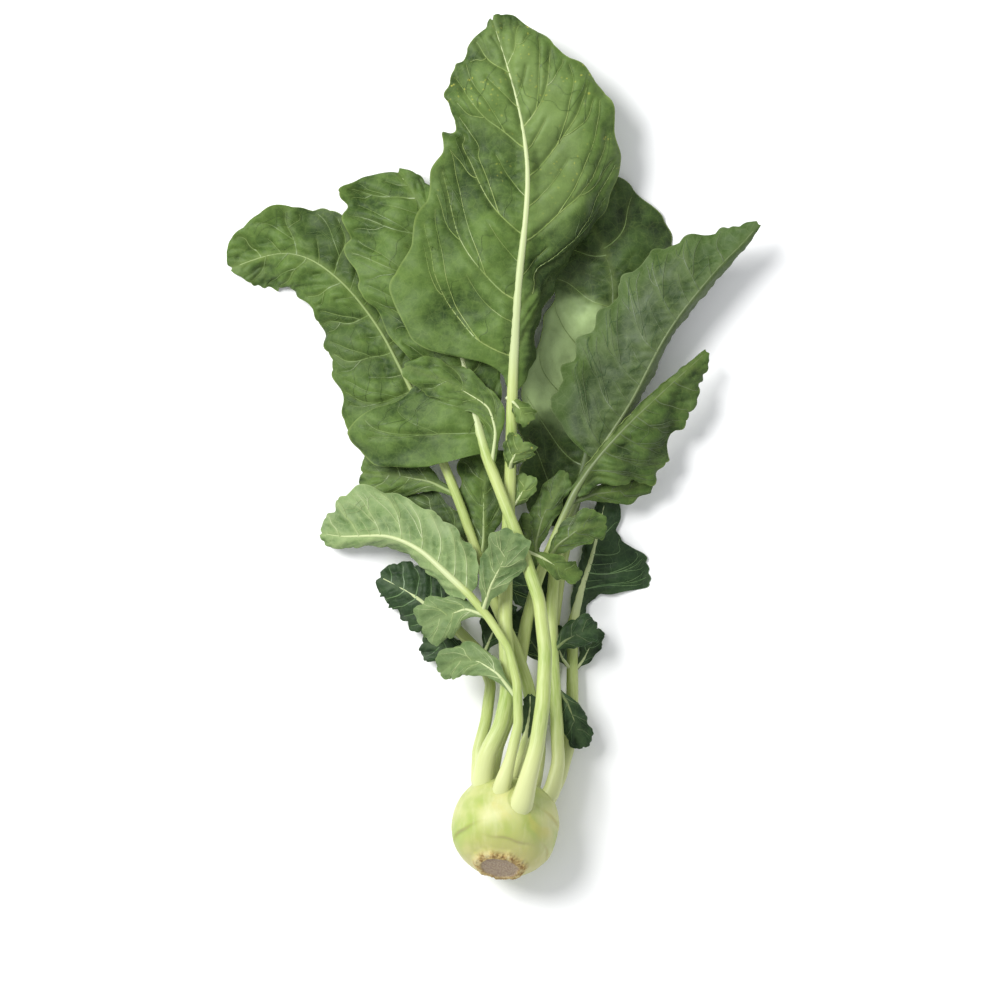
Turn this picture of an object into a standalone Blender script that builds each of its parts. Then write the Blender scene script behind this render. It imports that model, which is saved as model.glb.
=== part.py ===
# Kohlrabi as picked: one swollen bulb lying on its side with its nine leaves and its young heart leaf.
# Millimetres in the tables, turned into metres with MM. +Z is up and the table top is z = 0.
# +X is to the right and +Y points from the bulb to the leaf tips. The origin is the bulb's flat resting spot.

import bmesh
import bpy
import numpy as np
from mathutils import Vector

MM = 0.001

# The bulb: a slightly flattened globe whose root end is tipped up, away from the leaves.
BULB_CENTRE = np.array([0.0, 0.0, 28.1])
BULB_RADIUS = 30.0
BULB_HALF_LENGTH = 26.0
BULB_TILT = np.radians(33.0)
BULB_TURN = np.radians(-8.0)
BULB_SEGMENTS = 36
BULB_RINGS = 26
ROOT_RIM_RADIUS = 15.0
ROOT_CUT_RADIUS = 10.0
ROOT_STUB_LENGTH = 3.2
SEAT_GAP = 0.3

BLADE_THICKNESS = 0.9
STALK_SIDES_RESOLUTION = 2
STALK_STEP = 17.0
MIDRIB_END_RADIUS = 1.0
MIDRIB_END = 0.86

# Each leaf:
#   stalk   x, y, z and radius, from inside the bulb to where the blade starts
#   midrib  x, y, z from there to the tip
#   left, right   share of the length, how far the margin reaches sideways, how far it lies above the midrib
#   lean    share of the length and the angle in degrees by which the side veins lean towards the tip
#   bend    how strongly the halves curl over towards their margins, 1.1 where it isn't given
#   ruffle  height of the margin's waves and how many there are, teeth: their depth as a share and how many
#   grid    rows along the blade and columns across each half
LEAVES = {
    "leaf_top": dict(
        stalk=[(-8, 12, 30, 7), (-13, 25, 35, 6), (-10, 42, 38.5, 5), (-2, 58, 39.5, 4.6),
               (1.5, 75, 39.5, 4.3), (1, 95, 38.5, 4.1), (0, 118, 36, 3.9), (0.5, 145, 34, 3.7),
               (2, 175, 34, 3.5), (3, 200, 36, 3.3), (3.5, 222, 39, 3.1)],
        midrib=[(4, 242.5, 42), (4.8, 264, 44.5), (6, 284.5, 46.5), (7.5, 306, 47.5), (10, 327, 48),
                (12.3, 348, 47.5), (13, 369, 46), (10.4, 390, 44), (5.6, 411.6, 41), (-0.5, 432, 37),
                (-7, 452, 32.5)],
        left=[(0, 1.5, 0), (0.05, 6, 0), (0.085, 16, -1), (0.11, 42, -2), (0.14, 60, -4), (0.2, 71, -6),
              (0.3, 64, -6),
              (0.4, 61, -5), (0.5, 57, -5), (0.54, 57, -5), (0.56, 47, -4), (0.61, 52, -4), (0.7, 50, -5),
              (0.8, 36, -4), (0.9, 19, -3), (0.96, 8, -2), (1, 2, 0)],
        right=[(0, 1.5, 0), (0.05, 8, -6), (0.1, 11, -12), (0.2, 13, -18), (0.3, 22, -25), (0.4, 50, -22),
               (0.5, 60, -18), (0.6, 58, -13), (0.7, 48, -9), (0.8, 34, -7), (0.9, 23, -5), (0.96, 14, -3),
               (1, 3, 0)], bend=2.4,
        lean=[(0, 20), (0.08, 0), (0.12, -6), (0.2, 8), (0.3, 20), (0.5, 32), (0.7, 39), (0.8, 43), (0.9, 50),
              (1, 62)],
        ruffle=(1.6, 5.5), teeth=(0.03, 9), grid=(24, 4),
        leaflets=[dict(midrib=[(1, 241, 42), (5, 238, 44.5), (9.5, 233, 44.5), (14, 228, 42)],
                       half_width=7, drop=-1),
                  dict(midrib=[(2.8, 201, 38), (3.5, 205, 43.5), (6, 210, 45), (10, 216, 44.5)],
                       half_width=11, drop=-1),
                  dict(midrib=[(2, 178, 34), (6, 182, 35.5), (9.5, 188, 35.5), (12.5, 197, 34)],
                       half_width=7.5, drop=-1)]),
    "leaf_upper_left": dict(
        stalk=[(5, 6, 46, 8), (9, 14, 53, 6.6), (13, 30, 57.5, 5), (17.5, 46, 58.5, 4.4), (21, 71, 57, 4),
               (22.4, 99, 53.5, 3.8), (19, 128, 49.5, 3.6), (9, 158, 46, 3.4), (-1, 184, 42.5, 3.1)],
        midrib=[(-11, 210, 39), (-19, 240, 35.5), (-25, 268, 32.5), (-32, 296, 29.5), (-39, 322, 26.5),
                (-46, 345, 23),
                (-54, 360, 18), (-60, 368, 11)],
        left=[(0, 34, -4), (0.02, 62, -8), (0.06, 72, -11), (0.11, 71, -11), (0.16, 62, -9), (0.2, 38, -5),
              (0.25, 24, -3), (0.32, 34, -5), (0.45, 48, -8), (0.6, 55, -9), (0.72, 50, -8), (0.82, 46, -7),
              (0.9, 40, -5), (0.96, 23, -3), (1, 4, 0)],
        right=[(0, 2, 0), (0.1, 14, -2), (0.3, 26, -3), (0.6, 28, -4), (0.8, 16, -3), (0.92, 10, -2),
               (1, 3, 0)],
        lean=[(0, 2), (0.06, 7), (0.14, 10), (0.22, 14), (0.4, 24), (0.7, 30), (0.88, 34), (1, 42)],
        ruffle=(1.4, 5), teeth=(0.04, 8), grid=(22, 3),
        leaflets=[dict(midrib=[(-8, 200, 40.5), (-5, 222, 41.5), (-9, 236, 39.5), (-32, 250, 38), (-56, 258, 35)],
                       half_width=13, drop=-1.5),
                  dict(midrib=[(10, 156, 46), (20, 152, 47), (30, 146, 44.5), (42, 141, 40)],
                       half_width=7.5, drop=-1)]),
    "leaf_left": dict(
        stalk=[(10, 12, 22, 5.5), (16, 25, 23.5, 4.6), (19, 42, 24, 4.1), (17, 62, 25, 3.7),
               (12, 83, 27, 3.4), (4.5, 104, 28.6, 3.2), (-7, 129, 28, 3), (-16, 155, 27, 2.8),
               (-24, 178, 26, 2.7), (-31, 196, 25, 2.6), (-42, 222, 22, 2.4)],
        midrib=[(-48, 237, 20.5), (-56, 252, 19.5), (-62, 264, 18.5), (-68, 276, 17.5), (-79, 292, 16.5),
                (-91, 306, 16),
                (-106, 318, 15), (-118, 323, 12.5), (-130, 323, 9), (-143, 319, 5), (-154, 315, 2)],
        left=[(0, 30, -5), (0.02, 43, -9), (0.06, 44, -10), (0.13, 39, -10), (0.2, 35, -9), (0.35, 31, -10),
              (0.5, 23, -9), (0.65, 21, -8), (0.8, 24, -9), (0.9, 14, -4), (1, 2, 0)],
        right=[(0, 2, 0), (0.08, 12, -3), (0.2, 20, -7), (0.35, 26, -9), (0.5, 29, -8), (0.62, 31, -6),
               (0.72, 29, -4), (0.82, 25, -2), (0.9, 18, -1), (0.96, 11, 0), (1, 3, 0)],
        lean=[(0, -10), (0.1, -3), (0.3, 5), (0.7, 15), (1, 45)],
        ruffle=(1.5, 5), teeth=(0.04, 8), grid=(22, 3),
        leaflets=[dict(midrib=[(-28, 187, 25.5), (-42, 194, 23), (-58, 197, 18.5), (-80, 199, 13)],
                       half_width=16, drop=-2),
                  dict(midrib=[(-14, 147, 28), (-12, 161, 26.5), (-12, 177, 25), (-12, 194, 23.5), (-12, 213, 22)],
                       half_width=17, drop=-2),
                  dict(midrib=[(-17, 153, 27.5), (-28, 166, 25), (-42, 175, 20), (-60, 177, 13)],
                       half_width=16, drop=-2)]),
    "leaf_lower_left": dict(
        stalk=[(-3, 14, 42, 6.6), (-1.5, 25, 48, 4.8), (3, 40, 50.5, 3), (7.5, 59, 51, 2.7),
               (6.7, 82, 49.5, 2.6), (2, 101, 47.5, 2.4), (-9, 118, 45.5, 2.3)],
        midrib=[(-20, 131, 43.5), (-33, 143, 40), (-46, 155, 35.5), (-57, 161, 31), (-67, 164, 27),
                (-80, 163.5, 21.5),
                (-92, 163, 15.5), (-103, 165, 9)],
        left=[(0, 4, 0), (0.1, 8, -6), (0.3, 7, -12), (0.5, 6, -13), (0.7, 6, -9), (0.82, 8, -6), (0.92, 8, -3),
              (1, 2, 0)],
        right=[(0, 6, 0), (0.06, 15, -1), (0.12, 20, -2), (0.25, 22, -3), (0.4, 21, -4), (0.55, 24, -5),
               (0.68, 29, -6),
               (0.8, 21, -5), (0.9, 13, -3), (0.96, 7, -2), (1, 2, 0)],
        lean=[(0, 0), (0.5, 8), (1, 40)],
        ruffle=(1.4, 4.5), teeth=(0.05, 8), grid=(20, 3),
        leaflets=[dict(midrib=[(-13, 120, 45), (-8, 136, 52), (-1, 150, 54.5), (5, 165, 54.5)],
                       half_width=14.5, drop=-0.5),
                  dict(midrib=[(-10, 119, 45), (-22, 123, 42), (-33, 119, 36), (-46, 113, 30)],
                       half_width=15, drop=-4),
                  dict(midrib=[(6, 74, 50), (-4, 87, 48.5), (-15, 94, 43), (-27, 94, 36), (-36, 87, 29)],
                       half_width=11, drop=-3)]),
    "leaf_right": dict(
        stalk=[(18, 12, 29, 6.2), (26, 19, 29, 4.9), (30, 36, 27.5, 3.7), (29, 60, 24, 3.5),
               (27, 90, 21, 3.5), (26, 120, 19, 3.4), (28, 148, 18, 3.1), (36, 175, 18.5, 2.7),
               (45, 195, 20, 2.2)],
        midrib=[(51, 207, 21), (60, 222, 22.5), (67, 232, 24), (73, 242.5, 26), (80.4, 257.6, 28.5),
                (88, 272.7, 30.5),
                (98, 288, 32), (111, 304, 33), (122, 317, 33), (134, 328, 32), (142, 338, 30)],
        left=[(0, 3, 0), (0.05, 24, 0), (0.1, 36, 1), (0.15, 41, 1), (0.3, 42, -2), (0.45, 37, -5),
              (0.6, 37, -7),
              (0.7, 31, -7), (0.8, 21, -5), (0.9, 12, -4), (0.96, 7, -2), (1, 2, 0)],
        right=[(0, 2, -1), (0.15, 3.5, -6), (0.4, 4, -11), (0.7, 4, -12), (0.9, 3, -6), (1, 1.5, 0)],
        lean=[(0, -18), (0.15, 0), (0.5, 6), (1, 24)],
        ruffle=(1.5, 6), teeth=(0.06, 9), grid=(22, 3),
        leaflets=[dict(midrib=[(26, 98, 20.5), (34, 105, 25), (43, 110, 26), (51, 111, 23)],
                       half_width=10, drop=-2),
                  dict(midrib=[(28, 80, 22), (35, 70, 22), (40, 57, 20), (44, 45, 17)],
                       half_width=9, drop=-3)]),
    "leaf_lower_right": dict(
        stalk=[(-5, 14, 25, 6), (-9, 27, 22, 5), (-5, 45, 20, 4.2), (3, 65, 18, 3.9), (8, 90, 17.5, 3.7),
               (12, 115, 19.5, 3.4), (18, 138, 24, 3), (25, 156, 27, 2.6), (33, 175, 28.5, 2.1)],
        midrib=[(39, 188, 29), (47.6, 201.6, 30.5), (57, 213, 31.5), (69, 226, 31.5), (81, 237.4, 30.5),
                (93.5, 249, 28), (104.7, 259, 24.5), (113, 267, 20)],
        left=[(0, 3, 0), (0.3, 3, 0.5), (0.6, 4, 0), (0.85, 3, -1), (1, 1.5, 0)],
        right=[(0, 4, 0), (0.1, 9, -1), (0.15, 12, -2), (0.22, 22, -5), (0.3, 31, -9), (0.4, 32, -11),
               (0.5, 27, -11),
               (0.6, 22, -9), (0.75, 17, -7), (0.87, 11, -4), (1, 2, 0)],
        lean=[(0, -10), (0.5, 0), (1, 22)],
        ruffle=(1.3, 4), teeth=(0.07, 7), grid=(18, 3),
        leaflets=[dict(midrib=[(22, 148, 25.8), (30, 159, 33), (42, 168, 35), (56, 170, 33)],
                       half_width=11, drop=-1.5),
                  dict(midrib=[(36, 182, 28.5), (50, 187, 24), (66, 189, 20), (83, 195, 15)],
                       half_width=9, drop=-3),
                  dict(midrib=[(20, 144, 25.5), (17, 158, 27), (21, 174, 28), (27, 186, 28), (34, 199, 26)],
                       half_width=9, drop=-1),
                  dict(midrib=[(16, 134, 23), (14, 147, 25.5), (12, 160, 26.5), (13, 176, 26)],
                       half_width=8, drop=-1)]),
    "leaf_under": dict(
        stalk=[(3, 12, 18, 6), (6, 23, 12, 4.8), (13, 42, 8, 4.3), (20, 65, 6.8, 4.1), (25, 90, 6.5, 4),
               (27, 115, 6.4, 3.9), (30, 138, 6.4, 3.7), (32.5, 152, 6.6, 3.5)],
        midrib=[(36, 168, 7), (41, 188, 7.8), (45.5, 206, 8.8), (49, 224, 10), (53, 251, 12), (60, 279, 14),
                (61.6, 304, 15), (59, 316, 15), (55, 328, 14.5),
                (49, 338, 13), (42, 349, 11), (34, 358, 8)],
        left=[(0, 16, 0), (0.04, 27, 2), (0.12, 33, 3), (0.2, 36, 4), (0.28, 40, 4), (0.35, 44, 5),
              (0.45, 41, 5), (0.55, 37, 3), (0.65, 35, 1), (0.78, 31, -2), (0.89, 23, -3), (0.96, 12, -2),
              (1, 3, 0)],
        right=[(0, 2, 0), (0.15, 3, 0), (0.23, 5, 0), (0.33, 17, -2), (0.55, 24, -5), (0.67, 33, -10),
               (0.74, 38, -13), (0.79, 39, -14), (0.85, 33, -11), (0.91, 25, -8), (0.96, 15, -5), (1, 3, -1)],
        lean=[(0, -8), (0.2, -4), (0.35, -6), (0.5, 5), (0.78, 12), (1, 40)],
        ruffle=(1.2, 5), teeth=(0.05, 7), grid=(18, 3),
        leaflets=[dict(midrib=[(27, 112, 6.4), (22, 122, 9), (16, 133, 10), (9, 144, 9)],
                       half_width=15, drop=-1),
                  dict(midrib=[(25, 88, 6.5), (19, 98, 8.5), (12, 108, 9.5), (4, 117, 9)],
                       half_width=13, drop=-1)]),
    "leaf_low_right": dict(
        stalk=[(14, 6, 18, 6), (23, 13, 15, 4.6), (31, 28, 12, 3.8), (36, 45, 10, 3.5), (38, 70, 8, 3.4),
               (38, 95, 6, 3.2)],
        midrib=[(38, 113, 5), (43, 133, 4.6), (48.7, 150, 4.6), (53, 167, 5), (56.6, 183.7, 5.4),
                (60, 199, 5.6)],
        left=[(0, 2, 0), (0.3, 6, 0), (0.7, 6, 0), (1, 2, 0)],
        right=[(0, 3, 0), (0.22, 9, -2), (0.3, 24, -4), (0.36, 34, -4.6), (0.45, 35, -4.8), (0.5, 31, -4),
               (0.55, 17, -3), (0.62, 11, -2), (0.86, 9, -1), (1, 3, 0)],
        lean=[(0, -5), (0.3, 0), (1, 25)],
        ruffle=(0.8, 4), teeth=(0.06, 6), grid=(16, 3),
        leaflets=[dict(midrib=[(37, 88, 7.5), (32, 95, 12.5), (29, 104, 13), (27, 113, 12.5)],
                       half_width=6.5, drop=-0.5),
                  dict(midrib=[(38, 86, 7), (44, 93, 6), (48.5, 102, 4.5), (52, 111, 3)],
                       half_width=7, drop=-1)]),
    "leaf_low_left": dict(
        stalk=[(-8, 12, 20, 5.5), (-15, 25, 13.5, 4.2), (-15, 42, 11, 3.6), (-10.5, 60, 10.5, 3.3),
               (-8, 80, 12, 3.1), (-15, 99, 14, 3)],
        midrib=[(-29, 113, 14.5), (-42, 123, 13), (-53, 131, 11), (-64, 137, 8), (-70, 140, 6)],
        left=[(0, 3, 0), (0.12, 14, -2), (0.3, 16, -4), (0.5, 15, -5), (0.75, 12, -4), (0.9, 8, -2), (1, 3, 0)],
        right=[(0, 3, 0), (0.15, 12, -1), (0.5, 20, -3), (0.75, 14, -3), (0.9, 9, -2), (1, 3, 0)],
        lean=[(0, -5), (0.5, 10), (1, 35)],
        ruffle=(1.2, 3.5), teeth=(0.07, 6), grid=(14, 3),
        leaflets=[dict(midrib=[(-13, 95, 13.4), (-23, 97, 11.5), (-34, 100, 9.5), (-46, 103, 7.5)],
                       half_width=11, drop=-1.5),
                  dict(midrib=[(-13, 95, 13.5), (-9, 104, 15), (-5, 114, 15), (-1, 126, 14)],
                       half_width=11, drop=-1)]),
    "heart_leaf": dict(
        stalk=[(2, 18, 26, 3.2), (5, 30, 31, 2.4), (9, 42, 35, 2)],
        midrib=[(11, 50, 37.5), (13, 60, 40), (14, 68, 41.5), (14, 75, 42)],
        left=[(0, 1.5, 0), (0.3, 4, 1), (0.6, 5, 1), (0.85, 4, 0), (1, 1, 0)],
        right=[(0, 1.5, 0), (0.3, 5, 1), (0.6, 6, 0), (0.85, 4, -1), (1, 1, 0)],
        lean=[(0, 10), (1, 40)],
        ruffle=(0.8, 3), teeth=(0.12, 5), grid=(10, 2)),
}

LEAFLET_OUTLINE = [(0, 0.1), (0.2, 0.22), (0.4, 0.75), (0.65, 1.0), (0.85, 0.8), (0.95, 0.45), (1, 0.12)]
LEAFLET_GRID = (8, 2)
LEAFLET_TEETH = (0.1, 4)
LEAFLET_RUFFLE = (1.0, 2.5)

COLOURS = {
    "bulb": ((0.62, 0.72, 0.36), 0.38),
    "leaf_lower_left": ((0.25, 0.40, 0.17), 0.5),
    "leaf_right": ((0.20, 0.34, 0.14), 0.5),
    "leaf_low_right": ((0.05, 0.14, 0.06), 0.5),
    "leaf_low_left": ((0.06, 0.16, 0.07), 0.5),
    "heart_leaf": ((0.16, 0.32, 0.10), 0.5),
}
LEAF_COLOUR = ((0.11, 0.25, 0.07), 0.48)


def clear_scene():
    for old in list(bpy.data.objects):
        bpy.data.objects.remove(old)


def rounded(knots, values, at, blur):
    """A polyline of values read at the shares `at`, with its corners rounded over `blur`."""
    knots = np.asarray(knots, float)
    values = np.asarray(values, float)
    steps = np.linspace(-2, 2, 9)
    weights = np.exp(-steps**2) / np.exp(-steps**2).sum()
    total = np.zeros(len(at))
    for step, weight in zip(steps, weights):
        x = at + step * blur
        y = np.interp(x, knots, values)
        first = (values[1] - values[0]) / (knots[1] - knots[0])
        last = (values[-1] - values[-2]) / (knots[-1] - knots[-2])
        y = y + np.minimum(x - knots[0], 0) * first + np.maximum(x - knots[-1], 0) * last
        total += weight * y
    return total


def route(points, at, blur=0.05):
    """Points along a smooth line through a list of points, at shares of its length."""
    points = np.asarray(points, float)
    lengths = np.linalg.norm(np.diff(points[:, :3], axis=0), axis=1)
    knots = np.concatenate([[0], np.cumsum(lengths)]) / lengths.sum()
    columns = [rounded(knots, points[:, k], at, blur) for k in range(points.shape[1])]
    return np.stack(columns, axis=1)


def margin(rows, u):
    """The reach and rise of a margin at the shares u."""
    rows = np.asarray(rows, float)
    return rounded(rows[:, 0], rows[:, 1], u, 0.012), rounded(rows[:, 0], rows[:, 2], u, 0.03)


def blade_points(leaf, u, v):
    """The leaf surface at shares u of its length and v of its half width, -1 at the left margin and 1 at the right.

    Each half is an elliptic arc from the midrib to its margin. Its outer part waves up and down.
    """
    centre = route(leaf["midrib"], u)
    ahead = route(leaf["midrib"], u + 0.06, 0.12) - route(leaf["midrib"], u - 0.06, 0.12)
    ahead[:, 2] = 0
    ahead /= np.linalg.norm(ahead, axis=1)[:, None]
    side = np.stack([ahead[:, 1], -ahead[:, 0], np.zeros(len(u))], axis=1)
    left_reach, left_rise = margin(leaf["left"], u)
    right_reach, right_rise = margin(leaf["right"], u)
    is_left = v < 0
    reach = np.where(is_left, left_reach, right_reach)
    rise = np.where(is_left, left_rise, right_rise)
    lean_rows = np.asarray(leaf["lean"], float)
    lean = np.radians(rounded(lean_rows[:, 0], lean_rows[:, 1], u, 0.03))
    depth, count = leaf["teeth"]
    away = np.abs(v)
    reach = reach * (1 + depth * away**4 * np.sin(2 * np.pi * count * u + 2.1 * is_left))
    bend = np.clip(leaf.get("bend", 1.1) * np.abs(rise) / np.maximum(reach, 1), 0.35, 1.35)
    across = reach * np.sin(away * bend) / np.sin(bend)
    up = rise * (1 - np.cos(away * bend)) / (1 - np.cos(bend))
    height, waves = leaf["ruffle"]
    fade = np.clip(reach / 14, 0, 1) * np.sin(np.pi * np.clip(u, 0, 1)) ** 0.4
    up = up + height * away**2.5 * fade * np.sin(2 * np.pi * waves * u + 1.3 + 2.4 * is_left)
    sign = np.where(is_left, -1, 1)
    direction = side * (np.cos(lean) * sign)[:, None] + ahead * np.sin(lean)[:, None]
    points = centre + direction * across[:, None]
    points[:, 2] += up
    points[:, 2] = np.maximum(points[:, 2], BLADE_THICKNESS / 2)
    return points


def sheet(name, leaf):
    """A flat grid bent into the leaf's surface and given its thickness."""
    rows, columns = leaf["grid"]
    mesh = bpy.data.meshes.new(name)
    grid = bmesh.new()
    bmesh.ops.create_grid(grid, x_segments=2 * columns, y_segments=rows, size=1)
    v = np.array([corner.co.x for corner in grid.verts])
    u = np.array([(corner.co.y + 1) / 2 for corner in grid.verts])
    points = blade_points(leaf, u, v) * MM
    for corner, point in zip(grid.verts, points):
        corner.co = point
    bmesh.ops.triangulate(grid, faces=grid.faces)
    grid.to_mesh(mesh)
    grid.free()
    made = bpy.data.objects.new(name, mesh)
    bpy.context.collection.objects.link(made)
    thickness = made.modifiers.new("Thickness", "SOLIDIFY")
    thickness.thickness = BLADE_THICKNESS * MM
    thickness.offset = 0
    return made


def stalk(name, leaf):
    """The round stalk, which runs on as the midrib and thins towards the tip."""
    start = np.asarray(leaf["stalk"], float)
    midrib = np.asarray(leaf["midrib"], float)
    share = np.linspace(0, 1, 12)
    rib = route(midrib, share * MIDRIB_END)
    radius = start[-1, 3] + (MIDRIB_END_RADIUS - start[-1, 3]) * share**0.8
    line = np.vstack([start, np.column_stack([rib, radius])])
    length = np.linalg.norm(np.diff(line[:, :3], axis=0), axis=1).sum()
    count = max(5, int(length / STALK_STEP))
    line = route(line, np.linspace(0, 1, count + 1), 0.4 / len(line))
    curve = bpy.data.curves.new(name, "CURVE")
    curve.dimensions = "3D"
    curve.bevel_depth = MM
    curve.bevel_resolution = STALK_SIDES_RESOLUTION
    curve.use_fill_caps = True
    spline = curve.splines.new("POLY")
    spline.points.add(len(line) - 1)
    for point, (x, y, z, thick) in zip(spline.points, line):
        point.co = (x * MM, y * MM, z * MM, 1)
        point.radius = thick
    made = bpy.data.objects.new(name, curve)
    bpy.context.collection.objects.link(made)
    return made


def leaflet(name, lobe):
    """A small lobe that grows from a stalk, as a leaf surface with a spoon outline."""
    outline = [(u, share * lobe["half_width"], share * lobe["drop"]) for u, share in LEAFLET_OUTLINE]
    leaf = dict(midrib=lobe["midrib"], left=outline, right=outline, lean=[(0, 10), (1, 40)],
                ruffle=LEAFLET_RUFFLE, teeth=LEAFLET_TEETH, grid=LEAFLET_GRID)
    return sheet(name, leaf)


def as_mesh(obj):
    """Replaces an object by a mesh of its evaluated shape, with a curve's caps joined to its sides."""
    graph = bpy.context.evaluated_depsgraph_get()
    mesh = bpy.data.meshes.new_from_object(obj.evaluated_get(graph))
    name = obj.name
    made = bpy.data.objects.new(name + "_mesh", mesh)
    made.matrix_world = obj.matrix_world
    bpy.context.collection.objects.link(made)
    bpy.data.objects.remove(obj)
    made.name = name
    welded = bmesh.new()
    welded.from_mesh(mesh)
    bmesh.ops.remove_doubles(welded, verts=welded.verts, dist=0.00001)
    bmesh.ops.recalc_face_normals(welded, faces=welded.faces)
    welded.to_mesh(mesh)
    welded.free()
    return made


def apply_boolean(obj, operation, other):
    """Joins a collection to the object, or cuts one object from it, for good."""
    change = obj.modifiers.new(operation.title(), "BOOLEAN")
    change.operation = operation
    change.solver = "EXACT"
    if isinstance(other, bpy.types.Collection):
        change.operand_type = "COLLECTION"
        change.collection = other
    else:
        change.object = other
    bpy.context.view_layer.update()
    graph = bpy.context.evaluated_depsgraph_get()
    mesh = bpy.data.meshes.new_from_object(obj.evaluated_get(graph))
    obj.modifiers.clear()
    obj.data = mesh


def bulb_axes():
    """The bulb's own axes: to the right, up across the axis, and along it from the root to the crown."""
    turn = np.array([-np.sin(BULB_TURN), np.cos(BULB_TURN)])
    along = np.array([turn[0] * np.cos(BULB_TILT), turn[1] * np.cos(BULB_TILT), -np.sin(BULB_TILT)])
    right = np.array([turn[1], -turn[0], 0.0])
    return right, np.cross(right, along), along


def bulb_surface(directions):
    """Points of the bulb for unit directions given in the bulb's own axes.

    The globe has broad shoulders, a swelling under each leaf stalk, a low ledge at each old leaf scar, and a corky
    stub with a cut face at its root.
    """
    right, upward, along = bulb_axes()
    d = directions
    flat = np.hypot(d[:, 0], d[:, 1])
    radius = (np.abs(flat / BULB_RADIUS) ** 2.2 + np.abs(d[:, 2] / BULB_HALF_LENGTH) ** 2.2) ** (-1 / 2.2)
    for leaf in LEAVES.values():
        start = np.array(leaf["stalk"][1][:3]) - BULB_CENTRE
        towards = np.array([start @ right, start @ upward, start @ along])
        near = d @ (towards / np.linalg.norm(towards))
        radius += 1.1 * leaf["stalk"][1][3] / 5 * np.exp((near - 1) / 0.045)
    for turn, height in SCARS:
        angle = np.arctan2(d[:, 1], d[:, 0]) - turn
        angle = np.arctan2(np.sin(angle), np.cos(angle))
        over = d[:, 2] - height - 0.1 * angle**2
        radius += 0.8 * np.exp(-((angle / 0.5) ** 2)) * np.exp(-((over / 0.12) ** 2)) * np.tanh(over / 0.03)
    points = d * radius[:, None]
    rim = np.hypot(points[:, 0], points[:, 1])
    root = points[:, 2] < 0
    stub = BULB_HALF_LENGTH * 0.92 + ROOT_STUB_LENGTH * np.clip((ROOT_RIM_RADIUS - rim) / 4, 0, 1)
    stub += 0.7 * np.exp(-(((rim - ROOT_RIM_RADIUS + 1) / 1.6) ** 2)) - 0.6 * (rim < ROOT_CUT_RADIUS)
    inside = root & (rim < ROOT_RIM_RADIUS + 2)
    share = np.clip((ROOT_RIM_RADIUS + 2 - rim) / 3, 0, 1)
    points[:, 2] = np.where(inside, points[:, 2] * (1 - share) - stub * share, points[:, 2])
    world = BULB_CENTRE + points[:, :1] * right + points[:, 1:2] * upward + points[:, 2:] * along
    world[:, 2] = np.maximum(world[:, 2], 0)
    return world


# Old leaf scars: the angle round the bulb from its right side, and the height towards the crown (-1 is the root).
SCARS = [(0.3, -0.15), (1.5, -0.62), (2.6, -0.45), (3.9, -0.2), (5.1, -0.55), (0.4, -0.6)]


def make_bulb(name, growth=0.0):
    """The bulb, or with growth a copy that stands that much prouder, to cut the leaf bases with."""
    mesh = bpy.data.meshes.new(name)
    globe = bmesh.new()
    bmesh.ops.create_uvsphere(globe, u_segments=BULB_SEGMENTS, v_segments=BULB_RINGS, radius=1)
    directions = np.array([corner.co for corner in globe.verts])
    directions /= np.linalg.norm(directions, axis=1)[:, None]
    world = bulb_surface(directions)
    world = BULB_CENTRE + (world - BULB_CENTRE) * (1 + growth / BULB_HALF_LENGTH)
    for corner, point in zip(globe.verts, world * MM):
        corner.co = point
    bmesh.ops.recalc_face_normals(globe, faces=globe.faces)
    globe.to_mesh(mesh)
    globe.free()
    made = bpy.data.objects.new(name, mesh)
    bpy.context.collection.objects.link(made)
    return made


def finish(name):
    """The Principled material of a node."""
    colour, roughness = COLOURS.get(name, LEAF_COLOUR)
    material = bpy.data.materials.new(name)
    material.use_nodes = True
    shader = material.node_tree.nodes["Principled BSDF"]
    shader.inputs["Base Color"].default_value = (*colour, 1)
    shader.inputs["Roughness"].default_value = roughness
    shader.inputs["Metallic"].default_value = 0
    return material


def make_leaf(name, leaf, cutter, parts):
    """Blade, stalk and leaflets joined into one solid and seated on the bulb."""
    blade = as_mesh(sheet(name, leaf))
    joined = bpy.data.collections.new(name + "_joined")
    bpy.context.scene.collection.children.link(joined)
    extras = [as_mesh(stalk(name + "_stalk", leaf))]
    for number, lobe in enumerate(leaf.get("leaflets", [])):
        extras.append(as_mesh(leaflet(f"{name}_leaflet_{number}", lobe)))
    for extra in extras:
        bpy.context.collection.objects.unlink(extra)
        joined.objects.link(extra)
    apply_boolean(blade, "UNION", joined)
    for extra in extras:
        bpy.data.objects.remove(extra)
    bpy.data.collections.remove(joined)
    apply_boolean(blade, "DIFFERENCE", cutter)
    blade.data.materials.clear()
    blade.data.materials.append(finish(name))
    blade.data.shade_smooth()
    blade.data.set_sharp_from_angle(angle=np.radians(50))
    bpy.context.collection.objects.unlink(blade)
    parts.objects.link(blade)
    return blade


def main():
    clear_scene()
    parts = bpy.data.collections.new("kohlrabi")
    cutters = bpy.data.collections.new("cutters")
    bpy.context.scene.collection.children.link(parts)
    bpy.context.scene.collection.children.link(cutters)
    bulb = make_bulb("bulb")
    bulb.data.materials.append(finish("bulb"))
    bulb.data.shade_smooth()
    cutter = make_bulb("bulb_cutter", SEAT_GAP)
    for obj, home in ((bulb, parts), (cutter, cutters)):
        bpy.context.collection.objects.unlink(obj)
        home.objects.link(obj)
    cutter.hide_render = True
    cutter.display_type = "WIRE"
    for name, leaf in LEAVES.items():
        make_leaf(name, leaf, cutter, parts)


main()
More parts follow.
